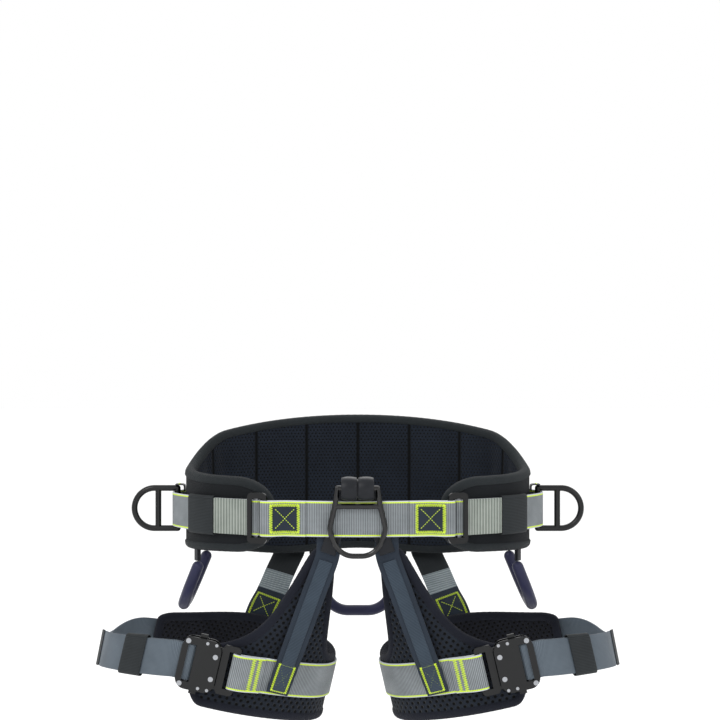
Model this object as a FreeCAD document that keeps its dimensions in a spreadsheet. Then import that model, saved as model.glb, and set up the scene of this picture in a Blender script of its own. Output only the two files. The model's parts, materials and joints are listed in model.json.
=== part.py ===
import FreeCAD, Part
import math
import os
from FreeCAD import Placement, Rotation, Vector

# A tree climbing saddle: a padded waist belt with two side D-rings and a ventral ring, and two
# padded leg loops that close with quick-connect buckles.
# Frame: X across the wearer, -Y to the wearer's front, +Z up. The origin is the centre of the waist
# opening, level with the middle of the belt webbing.

doc = FreeCAD.newDocument("climbing_saddle")
sheet = doc.addObject("Spreadsheet::Sheet", "sizes")

DIMENSIONS = {
    # belt oval, outer face of the pad
    "waist_half_width": 231, "waist_half_depth": 130, "waist_side_radius": 95,
    # webbing
    "web_width": 45, "web_thick": 2.4, "web_gap": 1.8, "front_gap": 0.6, "layer_gap": 0.4,
    "riser_width": 30, "tape_thick": 2.4,
    # waist pad, layers from outside to inside
    "cover_thick": 2, "foam_thick": 9, "lining_thick": 3, "skin_gap": 0.3,
    "edge_width": 11, "edge_proud": 0.4, "tip_height": 26, "tip_length": 56, "tip_reach": 108,
    "pad_back_top": 121, "pad_corner_top": 101, "pad_side_top": 58, "pad_front_top": 50,
    "pad_back_low": 70, "pad_corner_low": 75, "pad_side_low": 52, "pad_front_low": 44,
    # belt adjusters
    "adjuster_reach": 127, "adjuster_width": 26, "adjuster_height": 64, "adjuster_thick": 4,
    "adjuster_rail": 5.5, "adjuster_corner": 6, "bar_width": 5.5, "bar_thick": 2.2,
    "run_gap": 0.3, "fold_overlap": 52, "tail_length": 82,
    "keeper_start": 58, "keeper_length": 44, "keeper_thick": 1,
    # side D-rings
    "ring_rod_r": 4, "ring_slot_width": 18, "ring_bow_r": 27, "ring_bar_offset": 11,
    "ring_hump": 56, "ring_tab_width": 14, "ring_tab_thick": 1.6,
    # ventral ring
    "vent_rod_r": 3.4, "vent_axis_z": 39, "vent_top_half": 25, "vent_bar_drop": 22.5,
    "vent_bow_r": 33.5, "vent_axis_y": 137.3, "vent_sleeve_r": 11.4,
    "riser_seam_gap": 2, "tie_low": 44, "tie_spread": 27, "riser_foot": 82, "riser_foot_clear": 1.6,
    # gear loops
    "gear_tube_r": 7.5, "gear_reach": 58, "gear_lean": 22, "gear_drop": 54, "rear_gear_drop": 72,
    "rear_gear_half": 66,
    # leg loops
    "leg_x": 178, "leg_y": 30, "leg_z": 185, "leg_tilt": 13,
    "leg_half_width": 146, "leg_half_depth": 95, "leg_side_radius": 70,
    "leg_pad_thick": 9, "leg_pad_low": 55, "leg_front_top": 22, "leg_rear_top": 41,
    "leg_inner_top": 33, "leg_peak": 172, "leg_rear_end": 98, "leg_front_end": 33,
    "leg_round": 24,
    # leg buckle
    "buckle_length": 50, "buckle_height": 66, "buckle_plate": 2, "buckle_gap": 9,
    "buckle_corner": 14, "buckle_centre": 21, "buckle_stand_off": 2.2,
    "window_width": 10, "window_height": 47, "window_from_end": 13,
    "rivet_r": 3.2, "small_rivet_r": 2, "rivet_head": 1,
    "latch_travel": 4, "latch_poke": 5, "tang_thick": 3, "tang_height": 62, "tang_out": 24, "tang_in": 19,
    "tang_slot_width": 8, "tang_slot_height": 47, "tang_edge": 6, "leg_web_end": 84,
    "leg_fold_overlap": 36,
    "release_travel": 20,
    # rear risers
    "rear_x": 95, "rear_clear": 0.7, "rear_top": 26, "rear_anchor_low": 66, "rear_thick": 3,
    "rear_frame_height": 60, "rear_frame_width": 22, "strap_tail": 192, "strap_from": 78, "strap_rise": 0.5,
    "leg_keeper_start": 88, "leg_keeper_length": 34,
}
for row, (alias, value) in enumerate(DIMENSIONS.items(), start=1):
    sheet.set(f"A{row}", alias)
    sheet.set(f"B{row}", str(value))
    sheet.setAlias(f"B{row}", alias)
doc.recompute()


def size(alias):
    """A driving dimension, in millimetres or degrees, read from the sheet."""
    return float(sheet.get(alias))


# ---------------------------------------------------------------- shapes made with Part's functions

LABELS = []


def soft(label, shape, placement=None):
    """A sub-part whose shape is set directly: sewn cloth has no sketch of its own."""
    piece = doc.addObject("Part::Feature", label)
    piece.Label = label
    piece.Shape = shape
    if placement is not None:
        piece.Placement = placement
    LABELS.append(label)
    return piece


def other_side(label, source):
    """The same sub-part on the wearer's other side, mirrored in the middle plane."""
    twin = doc.addObject("Part::Mirroring", label)
    twin.Label = label
    twin.Source = source
    twin.Normal = Vector(1, 0, 0)
    twin.Base = Vector(0, 0, 0)
    LABELS.append(label)
    return twin


def swept(rows):
    """A closed solid from four rows of points, the long edges of a bar of four-sided section."""
    sections = [Part.makePolygon([*corners, corners[0]]) for corners in zip(*rows)]
    return Part.makeLoft(sections, True, True)


def tube_along(points, radii, r):
    """A round tube along straight runs joined by tangent arcs of the given radii."""
    edges, start = [], points[0]
    for before, corner, after, radius in zip(points, points[1:], points[2:], radii):
        a, b = (before - corner).normalize(), (after - corner).normalize()
        half = math.acos(max(-1.0, min(1.0, a.dot(b)))) / 2
        reach = radius / math.tan(half)
        middle = corner + (a + b).normalize() * (radius / math.sin(half) - radius)
        edges.append(Part.LineSegment(start, corner + a * reach).toShape())
        edges.append(Part.Arc(corner + a * reach, middle, corner + b * reach).toShape())
        start = corner + b * reach
    edges.append(Part.LineSegment(start, points[-1]).toShape())
    path = Part.Wire(edges)
    section = Part.Wire(Part.makeCircle(r, points[0], points[1] - points[0]))
    return path.makePipeShell([section], True, False)


def steps(start, stop, step):
    count = max(2, math.ceil(abs(stop - start) / step))
    return [start + (stop - start) * i / count for i in range(count + 1)]


def smooth(t):
    """0 before 0, 1 after 1, and an even S between."""
    t = max(0.0, min(1.0, t))
    return t * t * (3 - 2 * t)


def through(stations):
    """A smooth function through (place, value) stations."""
    def value(x):
        x = max(stations[0][0], min(stations[-1][0], x))
        k = max(i for i in range(len(stations) - 1) if stations[i][0] <= x)
        (x0, y0), (x1, y1) = stations[k], stations[k + 1]
        before = stations[max(k - 1, 0)]
        after = stations[min(k + 2, len(stations) - 1)]
        m0 = (y1 - before[1]) / (x1 - before[0])
        m1 = (after[1] - y0) / (after[0] - x0)
        t, step = (x - x0) / (x1 - x0), x1 - x0
        return ((2 * t**3 - 3 * t**2 + 1) * y0 + (t**3 - 2 * t**2 + t) * step * m0
                + (3 * t**2 - 2 * t**3) * y1 + (t**3 - t**2) * step * m1)
    return value


class Oval:
    """A four-arc oval. Places on it are arc lengths from the middle of the back, growing towards -X."""

    def __init__(self, half_width, half_depth, side_radius):
        a, b, r = half_width, half_depth, side_radius
        self.shift, self.depth, self.side = a - r, b, r
        self.long = ((a - r) ** 2 + b * b - r * r) / (2 * (b - r))
        self.turn = math.atan2(a - r, self.long - b)
        self.back = self.long * self.turn
        self.half = 2 * self.back + r * (math.pi - 2 * self.turn)

    def at(self, place, out=0.0):
        """The point at a place, moved outwards from the oval by out."""
        t = place % (2 * self.half)
        sign = -1
        if t > self.half:
            t, sign = 2 * self.half - t, 1
        if t <= self.back:
            angle, centre, radius = t / self.long, (0, self.depth - self.long), self.long
        elif t < self.half - self.back:
            angle, centre, radius = self.turn + (t - self.back) / self.side, (self.shift, 0), self.side
        else:
            angle = math.pi - (self.half - t) / self.long
            centre, radius = (0, self.long - self.depth), self.long
        return Vector(sign * (centre[0] + (radius + out) * math.sin(angle)),
                      centre[1] + (radius + out) * math.cos(angle), 0)

    def outward(self, place):
        return (self.at(place, 1) - self.at(place)).normalize()


def band(oval, start, stop, low, high, inner, outer, step=10, waist_line=None, move=None):
    """Cloth standing on an oval: low, high, inner and outer are numbers or functions of the place.
    A waist line is a height where the cloth may bend, and move says where the points above it go."""
    low, high, inner, outer = [f if callable(f) else (lambda s, v=f: v) for f in (low, high, inner, outer)]
    edges = [(inner, low), (outer, low), (outer, high), (inner, high)]
    if waist_line is not None:
        def bend(s):
            return min(waist_line, high(s) - 1)
        edges = [(inner, low), (outer, low), (outer, bend), (outer, high), (inner, high), (inner, bend)]
    places = steps(start, stop, step)
    rows = []
    for out, height in edges:
        row = [oval.at(s, out(s)) + Vector(0, 0, height(s)) for s in places]
        rows.append([move(point, out(s)) for point, s in zip(row, places)] if move else row)
    return swept(rows)


def ribbon(centres, start_across, end_across, width, thick):
    """A flat strap along centre points, its width turning from one direction to another."""
    rows = [[], [], [], []]
    last = len(centres) - 1
    for i, centre in enumerate(centres):
        along = centres[min(i + 1, last)] - centres[max(i - 1, 0)]
        turned_by = (i / last) ** 3
        side = start_across * (1 - turned_by) + end_across * turned_by
        face = along.cross(side).normalize()
        side = face.cross(along).normalize()
        for row, (w, n) in zip(rows, ((-1, -1), (1, -1), (1, 1), (-1, 1))):
            row.append(centre + side * (w * width / 2) + face * (n * thick / 2))
    return swept(rows)


SIDEWAYS = Vector(1, 0, 0)


def turn_back(centre, radius, start, ahead):
    """Points of a half turn about a centre, from the start side, round the ahead side."""
    angles = [math.pi * i / 8 for i in range(9)]
    return [centre + (start * math.cos(a) + ahead * math.sin(a)) * radius for a in angles]


def strap(points, thick, half_height):
    """A strap standing on edge along a centre line that is given in plan."""
    sides = ([], [])
    for before, point, after in zip(points[:1] + points, points, points[1:] + points[-1:]):
        along = (after - before).normalize()
        for side, sign in zip(sides, (1, -1)):
            aside = Vector(-along.y, along.x, 0) * (sign * thick / 2)
            side.append(point + aside - Vector(0, 0, half_height))
    curves = []
    for side in sides:
        curve = Part.BSplineCurve()
        curve.interpolate(side)
        curves.append(curve.toShape())
    ends = [Part.makeLine(sides[0][i], sides[1][i]) for i in (0, -1)]
    outline = Part.Wire(Part.__sortEdges__([curves[0], ends[1], curves[1], ends[0]]))
    return Part.Face(outline).extrude(Vector(0, 0, 2 * half_height))


def mirrored(points):
    """The same points on the other side, in the opposite order."""
    return [Vector(-p.x, p.y, p.z) for p in reversed(points)]


# ---------------------------------------------------------------- parametric pieces

def cell(text):
    """An expression in which each dimension's alias is read from the sheet."""
    words = []
    for word in text.replace("(", " ( ").replace(")", " ) ").split():
        words.append("sizes." + word if word in DIMENSIONS else word)
    return " ".join(words)


def rod(name, r, length, at, axis):
    """A Part::Cylinder of a radius and length, centred at a place, along X, Y or Z."""
    item = doc.addObject("Part::Cylinder", name)
    item.setExpression("Radius", cell(r))
    item.setExpression("Height", cell(length))
    turns = {"X": Rotation(Vector(0, 1, 0), 90), "Y": Rotation(Vector(1, 0, 0), -90), "Z": Rotation()}
    item.Placement = Placement(Vector(), turns[axis])
    for letter, place in zip("xyz", at):
        text = f"( {place} ) - ( {length} ) / 2" if letter.upper() == axis else place
        item.setExpression("Placement.Base." + letter, cell(text))
    return item


def joined(name, items):
    item = doc.addObject("Part::MultiFuse", name)
    item.Shapes = items
    return item


def plane_of(body, role="XY_Plane"):
    return next(f for f in body.Origin.OriginFeatures if f.Role == role)


def sketch_on(body, name):
    sketch = body.newObject("Sketcher::SketchObject", name)
    sketch.AttachmentSupport = [(plane_of(body), "")]
    sketch.MapMode = "FlatFace"
    return sketch


def rectangle(sketch, width, height, x="0", y="0"):
    """A rectangle centred at x, y, held by four named distances from the sketch's axes."""
    import Sketcher
    first = len(sketch.Geometry)
    w, h = 10.0 + first, 20.0 + first
    corners = [Vector(-w, -h, 0), Vector(w, -h, 0), Vector(w, h, 0), Vector(-w, h, 0)]
    for a, b in zip(corners, corners[1:] + corners[:1]):
        sketch.addGeometry(Part.LineSegment(a, b), False)
    for i in range(4):
        sketch.addConstraint(Sketcher.Constraint("Coincident", first + i, 2, first + (i + 1) % 4, 1))
        kind = "Horizontal" if i % 2 == 0 else "Vertical"
        sketch.addConstraint(Sketcher.Constraint(kind, first + i))
    for vertex, sign in ((0, "-"), (2, "+")):
        for kind, middle, extent in (("DistanceX", x, width), ("DistanceY", y, height)):
            index = sketch.addConstraint(
                Sketcher.Constraint(kind, -1, 1, first + vertex, 1, -w if sign == "-" else w))
            sketch.setExpression(f"Constraints[{index}]",
                                 cell(f"( {middle} ) {sign} ( {extent} ) / 2"))


def padded(body, sketch, name, thick):
    item = body.newObject("PartDesign::Pad", name)
    item.Profile = sketch
    item.setExpression("Length", cell(thick))
    return item


def pocketed(body, sketch, name, depth):
    item = body.newObject("PartDesign::Pocket", name)
    item.Profile = sketch
    item.Reversed = True
    item.setExpression("Length", cell(depth))
    return item


def upright_edges(feature, wanted=lambda x, y: True):
    """Names of the edges that run through a plate's thickness."""
    found = []
    for i, edge in enumerate(feature.Shape.Edges, start=1):
        a, b = edge.Vertexes[0].Point, edge.Vertexes[-1].Point
        if abs(a.x - b.x) < 1e-6 and abs(a.y - b.y) < 1e-6 and abs(a.z - b.z) > 1e-6 and wanted(a.x, a.y):
            found.append(f"Edge{i}")
    return found


def rounded(body, base, name, radius, edges):
    item = body.newObject("PartDesign::Fillet", name)
    item.Base = (base, edges)
    item.setExpression("Radius", cell(radius))
    return item


def plate(label, width, height, thick, corner, windows=()):
    """A stamped plate: a padded rectangle with rounded corners and rectangular windows."""
    body = doc.addObject("PartDesign::Body", label)
    body.Label = label
    outline = sketch_on(body, label + "_outline")
    rectangle(outline, width, height)
    slab = padded(body, outline, label + "_slab", thick)
    doc.recompute()
    last = rounded(body, slab, label + "_corners", corner, upright_edges(slab))
    doc.recompute()
    for i, (w, h, x, y) in enumerate(windows):
        before = last.Shape.Volume
        opening = sketch_on(body, f"{label}_window_{i}")
        rectangle(opening, w, h, x, y)
        last = pocketed(body, opening, f"{label}_cut_{i}", thick)
        doc.recompute()
        if last.Shape.Volume > before - 1:
            raise RuntimeError(f"{label}: window {i} cuts nothing")
    body.Tip = last
    LABELS.append(label)
    return body


def standing(oval, place, out, z=0.0, flip=False):
    """A placement with X along the oval towards the front middle, Y up and Z outwards."""
    point = oval.at(place, out) + Vector(0, 0, z)
    outwards = oval.outward(place)
    along = Vector(0, 0, 1).cross(outwards)
    turn = Rotation(along, Vector(0, 0, 1), outwards, "ZXY")
    return Placement(point, turn)


# ---------------------------------------------------------------- waist pad

waist = Oval(size("waist_half_width"), size("waist_half_depth"), size("waist_side_radius"))
front_middle, side_place = waist.half, waist.half / 2
pad_end = front_middle - size("tip_reach")
corner_place = waist.back + 8
pad_high = through([(-corner_place, size("pad_corner_top")), (0, size("pad_back_top")),
                    (corner_place, size("pad_corner_top")),
                    (side_place, size("pad_side_top")), (front_middle, size("pad_front_top"))])
pad_low = through([(-corner_place * 0.6, -size("pad_corner_low")), (0, -size("pad_back_low")),
                   (corner_place * 0.6, -size("pad_corner_low")),
                   (side_place, -size("pad_side_low")), (front_middle, -size("pad_front_low"))])


def rounded_end(edge, end, length, stub):
    """An outline edge that closes to a stub of a given half height at the pad's end."""
    def value(s):
        x = (abs(s) - (end - length)) / length
        h = math.sqrt(max(0.0, 1 - min(x, 1) ** 2)) if x > 0 else 1.0
        full = edge(abs(s))
        return math.copysign(stub, full) + (full - math.copysign(stub, full)) * h
    return value


def inset(edge, by):
    return lambda s: edge(s) - math.copysign(by, edge(s))


stub = size("tip_height") / 2
pad_top = rounded_end(pad_high, pad_end, size("tip_length"), stub)
pad_bottom = rounded_end(pad_low, pad_end, size("tip_length"), stub)
cover_in = -size("cover_thick")
foam_in = cover_in - size("foam_thick")
lining_in = foam_in - size("lining_thick")
edge_width, skin_gap, proud = size("edge_width"), size("skin_gap"), size("edge_proud")


def waist_layer(inner, outer, trim):
    return band(waist, -(pad_end - trim), pad_end - trim, inset(pad_bottom, trim), inset(pad_top, trim),
                inner, outer)


core_trim = edge_width + skin_gap
soft("waist_pad_cover", waist_layer(cover_in, 0, core_trim))
soft("waist_pad_foam", waist_layer(foam_in, cover_in, core_trim))
soft("waist_pad_lining", waist_layer(lining_in, foam_in, core_trim))
soft("waist_pad_binding", waist_layer(lining_in - proud, proud, 0).cut(
    waist_layer(lining_in - 5, 5, edge_width)))

# ---------------------------------------------------------------- belt webbing

half_web, web = size("web_width") / 2, size("web_thick")
under, layer = size("web_gap"), size("layer_gap")
adjuster_place = front_middle - size("adjuster_reach")
ring_clear = size("ring_bar_offset") + size("ring_rod_r") + size("run_gap")


def over_ring(s):
    """How far the belt webbing stands off the pad, where it passes over a side ring's bar."""
    x = (abs(s) - side_place) / size("ring_hump")
    return under + (ring_clear - under) * (math.cos(math.pi * x / 2) ** 2 if abs(x) < 1 else 0)


bar_out = under + web + size("run_gap")
over_bar = bar_out + size("bar_thick") + size("run_gap")


def tail_inner(s):
    """The tail lies on the webbing, and stands over the adjuster's bar at its end."""
    flat = over_ring(s) + web + layer
    rise = smooth((abs(s) - (adjuster_place - 22)) / 10)
    return flat + (over_bar - under - web - layer) * rise


def turned(s):
    return tail_inner(s) + web


def loop_end(place, inner, outer, ahead):
    """A strap's half turn from its outer layer to its inner one; ahead is 1 towards the front."""
    outwards = waist.outward(place)
    centre = waist.at(place, (inner + outer) / 2)
    along = Vector(0, 0, 1).cross(outwards) * ahead
    return turn_back(centre, (outer - inner) / 2, outwards, along)


tail_points = [waist.at(s, tail_inner(s) + web / 2)
               for s in steps(adjuster_place - size("tail_length"), adjuster_place - 2, 5)]
tail_points += loop_end(adjuster_place, under + web / 2, over_bar + web / 2, 1)
side_points = [waist.at(s, over_ring(s) + web / 2) for s in steps(adjuster_place - 2, 1, 7)]
half_belt = tail_points + side_points
soft("waist_webbing", strap(half_belt + mirrored(half_belt), web, half_web))

frame_level = over_bar + web + layer
frame_half = size("adjuster_width") / 2
frame_place = adjuster_place + 2
hook_place = frame_place + frame_half - size("adjuster_rail") + 3 * size("run_gap")
under_rail = frame_level - size("run_gap") - web
over_rail = frame_level + size("adjuster_thick") + size("run_gap")


def near_rail(s):
    """1 at the adjuster's front rail, falling to 0 towards the middle of the belt."""
    return 1 - smooth((s - hook_place - 6) / 22)


def front_inner(s):
    flat = size("front_gap")
    return flat + (under_rail - flat) * near_rail(s) + web / 2


def front_outer(s):
    flat = size("front_gap") + web + layer
    return flat + (over_rail - flat) * near_rail(s) + web / 2


lap_points = [waist.at(s, front_outer(s))
              for s in steps(hook_place + size("fold_overlap"), hook_place + 2, 4)]
lap_points += loop_end(hook_place, front_inner(hook_place), front_outer(hook_place), -1)
half_front = lap_points + [waist.at(s, front_inner(s)) for s in steps(hook_place + 2, front_middle - 1, 6)]
soft("front_webbing", strap(half_front + mirrored(half_front), web, half_web))


def keeper(oval, start, stop, inner, outer, half_height, sag=lambda s: 0.0):
    """A short elastic tube round a strap that hangs below its level by sag."""
    wall, gap = size("keeper_thick"), size("layer_gap")

    def tube(past, grow):
        reach = half_height + gap + grow
        return band(oval, start - past, stop + past, lambda s: -reach - sag(s), lambda s: reach - sag(s),
                    lambda s: inner(s) - grow, lambda s: outer(s) + gap + grow, step=6)

    return tube(0, wall).cut(tube(3, 0))


keeper_from = side_place + size("keeper_start")
left_keeper = soft("left_belt_keeper", keeper(
    waist, keeper_from, keeper_from + size("keeper_length"),
    lambda s: over_ring(s) - size("run_gap"), turned, half_web))
other_side("right_belt_keeper", left_keeper)

# ---------------------------------------------------------------- belt adjusters

frame_window = ("adjuster_width - 2 * adjuster_rail", "web_width + 4", "0", "0")
left_frame = plate("left_adjuster_frame", "adjuster_width", "adjuster_height", "adjuster_thick",
                   "adjuster_corner", [frame_window])
left_frame.Placement = standing(waist, frame_place, frame_level)
other_side("right_adjuster_frame", left_frame)
left_bar = plate("left_adjuster_bar", "bar_width", "adjuster_height - 4", "bar_thick", "2")
left_bar.Placement = standing(waist, adjuster_place - size("bar_width") / 2 + 0.6, bar_out)
other_side("right_adjuster_bar", left_bar)

# ---------------------------------------------------------------- side D-rings

slot = "( ring_slot_width + 2 * ring_rod_r )"
bow_middle = f"- {slot} - 5"
ring_parts = [
    rod("ring_rear_bar", "ring_rod_r", "2 * ring_bow_r", ("0", "0", "0"), "Z"),
    rod("ring_cross_bar", "ring_rod_r", "2 * ring_bow_r", (f"- {slot}", "0", "0"), "Z"),
    rod("ring_top_arm", "ring_rod_r", f"{slot} + 5", (f"( {bow_middle} ) / 2", "0", "ring_bow_r"), "X"),
    rod("ring_low_arm", "ring_rod_r", f"{slot} + 5", (f"( {bow_middle} ) / 2", "0", "- ring_bow_r"), "X"),
]
for i, z in enumerate(("ring_bow_r", "- ring_bow_r")):
    ball = doc.addObject("Part::Sphere", f"ring_corner_{i}")
    ball.setExpression("Radius", cell("ring_rod_r"))
    ball.setExpression("Placement.Base.z", cell(z))
    ring_parts.append(ball)
bow = doc.addObject("Part::Torus", "ring_bow")
bow.setExpression("Radius1", cell("ring_bow_r"))
bow.setExpression("Radius2", cell("ring_rod_r"))
bow.Angle3 = 180
bow.Placement = Placement(Vector(), Rotation(Vector(0, 0, 1), Vector(1, 0, 0), Vector(0, -1, 0), "ZXY"))
bow.setExpression("Placement.Base.x", cell(bow_middle))
ring_parts.append(bow)
left_ring = joined("left_side_ring", ring_parts)
ring_at = waist.at(side_place, size("ring_bar_offset"))
left_ring.Placement = Placement(ring_at, Rotation())
LABELS.append("left_side_ring")
other_side("right_side_ring", left_ring)

tab_r = size("ring_rod_r") + size("run_gap")
tab_z = size("ring_bow_r") + size("ring_rod_r") + size("run_gap")
tab_wall = size("ring_tab_thick")
tab_low = half_web + 1
left_tab = Part.makeBox(-ring_at.x - size("waist_half_width") + 2.5 - proud, size("ring_tab_width"), tab_wall,
                        Vector(ring_at.x - 2.5, -size("ring_tab_width") / 2, tab_z))
anchor_plate = Part.makeBox(tab_wall, size("ring_tab_width"), tab_z + tab_wall - tab_low,
                            Vector(-size("waist_half_width") - proud - tab_wall - 0.3,
                                   -size("ring_tab_width") / 2, tab_low))
left_tab_piece = soft("left_ring_tab", left_tab.fuse(anchor_plate))
other_side("right_ring_tab", left_tab_piece)

# ---------------------------------------------------------------- ventral ring

vent_y, vent_z = -size("vent_axis_y"), size("vent_axis_z")
arm = size("vent_top_half")
bow_r = size("vent_bow_r")


def vent(x, drop):
    return Vector(x, vent_y, vent_z - drop)


side_x = arm + 3.5
shoulder = size("vent_bar_drop")
ring_points = [vent(-arm, 0), vent(-side_x, shoulder), vent(-bow_r - 2, shoulder + 30),
               vent(-bow_r * 0.66, shoulder + 62), vent(bow_r * 0.66, shoulder + 62),
               vent(bow_r + 2, shoulder + 30), vent(side_x, shoulder), vent(arm, 0)]
vent_r = size("vent_rod_r")
hoop = tube_along(ring_points, [24, 26, 26, 26, 26, 24], vent_r)
bar = Part.makeCylinder(vent_r, 2 * arm, vent(-arm, 0), Vector(1, 0, 0))
cross = Part.makeCylinder(vent_r, 2 * side_x, vent(-side_x, shoulder), Vector(1, 0, 0))
knuckles = [Part.makeSphere(vent_r, vent(x, 0)) for x in (-arm, arm)]
soft("ventral_ring", hoop.fuse([bar, cross] + knuckles))

roll_in, roll_out = size("vent_sleeve_r"), size("vent_sleeve_r") + layer + size("tape_thick")
sleeve_x = arm - vent_r - 1.0
core = Part.makeCylinder(roll_in, 2 * sleeve_x, vent(-sleeve_x, 0), Vector(1, 0, 0)).cut(
    Part.makeCylinder(vent_r + size("run_gap"), 2 * arm, vent(-arm, 0), Vector(1, 0, 0)))
soft("ventral_sleeve", core)

# Each tie loop wraps the sleeve and runs down behind the belt webbing, spreading to its leg loop.
tie_width = sleeve_x - size("riser_seam_gap") / 2
tie_y = vent_y + roll_out - size("tape_thick") / 2
wrap = Part.makeCylinder(roll_out, tie_width, vent(-sleeve_x, 0), Vector(1, 0, 0)).cut(
    Part.makeCylinder(roll_in + layer, 2 * arm, vent(-arm, 0), Vector(1, 0, 0)))
tie_top = Vector(-sleeve_x + tie_width / 2, tie_y, vent_z)
tie_end = Vector(tie_top.x - size("tie_spread"), tie_y, -size("tie_low"))
tie_line = [tie_top + (tie_end - tie_top) * t for t in (0, 0.25, 0.5, 0.75, 1)]
run = ribbon(tie_line, SIDEWAYS, SIDEWAYS, size("riser_width") * 0.8, size("tape_thick"))
left_tie = soft("left_tie_loop", wrap.fuse(run))
other_side("right_tie_loop", left_tie)

# ---------------------------------------------------------------- gear loops

# Each loop ends in round knuckles that turn in anchors sewn into the pad's lower edge.
tube_r = size("gear_tube_r")
drop, lean = size("gear_drop"), size("gear_lean")
anchor_r, anchor_reach, anchor_clear = tube_r * 0.6, 5, 1.2


def loop_end_at(place):
    """The centre of a gear loop's knuckle, below the pad's lower edge at a place."""
    return waist.at(place, foam_in / 2) + Vector(0, 0, pad_low(place) - tube_r - anchor_reach)


def gear_loop(points, radii):
    tube = tube_along(points, radii, tube_r)
    return tube.fuse([Part.makeSphere(tube_r, points[0]), Part.makeSphere(tube_r, points[-1])])


loop_front = loop_end_at(side_place + size("gear_reach"))
loop_rear = loop_end_at(side_place - size("gear_reach"))
loop_rear.z = loop_front.z = min(loop_front.z, loop_rear.z)
loop_points = [loop_front, loop_front + Vector(-lean * 0.55, 3, -drop * 0.55),
               loop_front + Vector(-lean, 22, -drop), loop_rear + Vector(-lean, -22, -drop),
               loop_rear + Vector(-lean * 0.55, -3, -drop * 0.55), loop_rear]
left_gear = soft("left_gear_loop", gear_loop(loop_points, [40, 28, 28, 40]))
other_side("right_gear_loop", left_gear)
rear_half = size("rear_gear_half")
rear_top = loop_end_at(rear_half)
rear_down = size("rear_gear_drop")
rear_points = [rear_top, rear_top + Vector(8, 0, -rear_down * 0.52),
               rear_top + Vector(rear_half * 0.5, 0, -rear_down)]
rear_points += mirrored(rear_points)
soft("rear_gear_loop", gear_loop(rear_points, [36, 34, 34, 36]))

gear_anchors = []
for end, place in ((loop_front, side_place + size("gear_reach")),
                   (loop_rear, side_place - size("gear_reach")), (rear_top, rear_half)):
    low = end.z + tube_r + size("run_gap")
    for x in (end.x, -end.x):
        gear_anchors.append(Part.makeCylinder(anchor_r, pad_low(place) - anchor_clear - low,
                                              Vector(x, end.y, low)))
soft("gear_loop_anchors", Part.makeCompound(gear_anchors))

# ---------------------------------------------------------------- leg loops

leg = Oval(size("leg_half_width"), size("leg_half_depth"), size("leg_side_radius"))
leg_place = Placement(Vector(-size("leg_x"), -size("leg_y"), -size("leg_z")),
                      Rotation(Vector(0, 1, 0), size("leg_tilt")))
leg_up = leg_place.Rotation.multVec(Vector(0, 0, 1))
front_face = leg.half  # the leg oval's front middle, reached along the inner thigh as minus this
rear_end = size("leg_rear_end") + 10
front_end = -(front_face + size("leg_front_end"))
reach = -front_face + leg.back   # where the front arc meets the inner side arc
leg_high = through([(-(front_face + 40), size("leg_front_top") - 2), (-(front_face + 18), size("leg_front_top")),
                    (-(front_face - 28), 44), (-(front_face - 54), 74), (-(front_face - 72), 116),
                    (-(front_face - 88), size("leg_peak") - 12), (-(front_face - 96), size("leg_peak")),
                    (-(front_face - 122), size("leg_peak") + 2), (-(front_face - 134), 124),
                    (-(front_face - 146), 52), (-(front_face - 165), size("leg_inner_top")),
                    (-leg.half / 2 + 40, size("leg_inner_top") + 4), (-40, size("leg_rear_top")),
                    (rear_end - 40, 22), (rear_end + 5, 16)])


def leg_end(edge, length):
    def value(s):
        x = max((s - (rear_end - length)) / length, ((front_end + length) - s) / length)
        h = math.sqrt(max(0.0, 1 - min(x, 1) ** 2)) if x > 0 else 1.0
        full = edge(s)
        keep = math.copysign(9, full)
        return keep + (full - keep) * h
    return value


leg_top = leg_end(leg_high, size("leg_round"))
leg_bottom = leg_end(lambda s: -size("leg_pad_low"), size("leg_round"))
flat_y = tie_y + size("tape_thick") * 1.5 + 2 * layer + size("leg_y")
split, peak = half_web + 3, size("leg_peak")


def flatten(point, out):
    """The ear's top edge lies flat behind the belt webbing; its foot follows the thigh."""
    if point.y > 0 or point.z <= split:
        return point
    k = min(1.0, (point.z - split) / (peak - split))
    return Vector(point.x, point.y * (1 - k) + (flat_y - out) * k, point.z)


def leg_layer(inner, outer, trim):
    """The pad round the thigh, with the ear that rises at the front to meet the belt."""
    return band(leg, front_end + trim, rear_end - trim, inset(leg_bottom, trim), inset(leg_top, trim),
                inner, outer, step=6, waist_line=split, move=flatten)


pad_thick = size("leg_pad_thick")
left_leg_pad = soft("left_leg_pad", leg_layer(-pad_thick, 0, core_trim), leg_place)
other_side("right_leg_pad", left_leg_pad)
left_leg_binding = soft("left_leg_binding", leg_layer(-pad_thick - proud, proud, 0).cut(
    leg_layer(-pad_thick - 6, 6, edge_width)), leg_place)
other_side("right_leg_binding", left_leg_binding)

leg_under = size("front_gap") + proud
base_out = proud + size("buckle_stand_off")
tang_level = base_out + size("buckle_plate") + (size("buckle_gap") - size("tang_thick")) / 2
tang_end = size("tang_out") - size("buckle_centre") + size("buckle_length") / 2
tang_middle = tang_level + size("tang_thick") / 2
turn_r = size("tang_thick") / 2 + 0.7 + web / 2
turn_x = tang_end - size("tang_edge") + 1


def settling(x, flat_out, out, settle):
    """Where a strap leaves the buckle's plane at x, and how far from the oval it stands beyond there."""
    start = leg.long * math.atan2(abs(x), leg.long + flat_out)
    start_out = math.hypot(x, leg.long + flat_out) - leg.long
    return start, lambda t: out + (start_out - out) * (1 - smooth((t - start) / settle))


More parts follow.
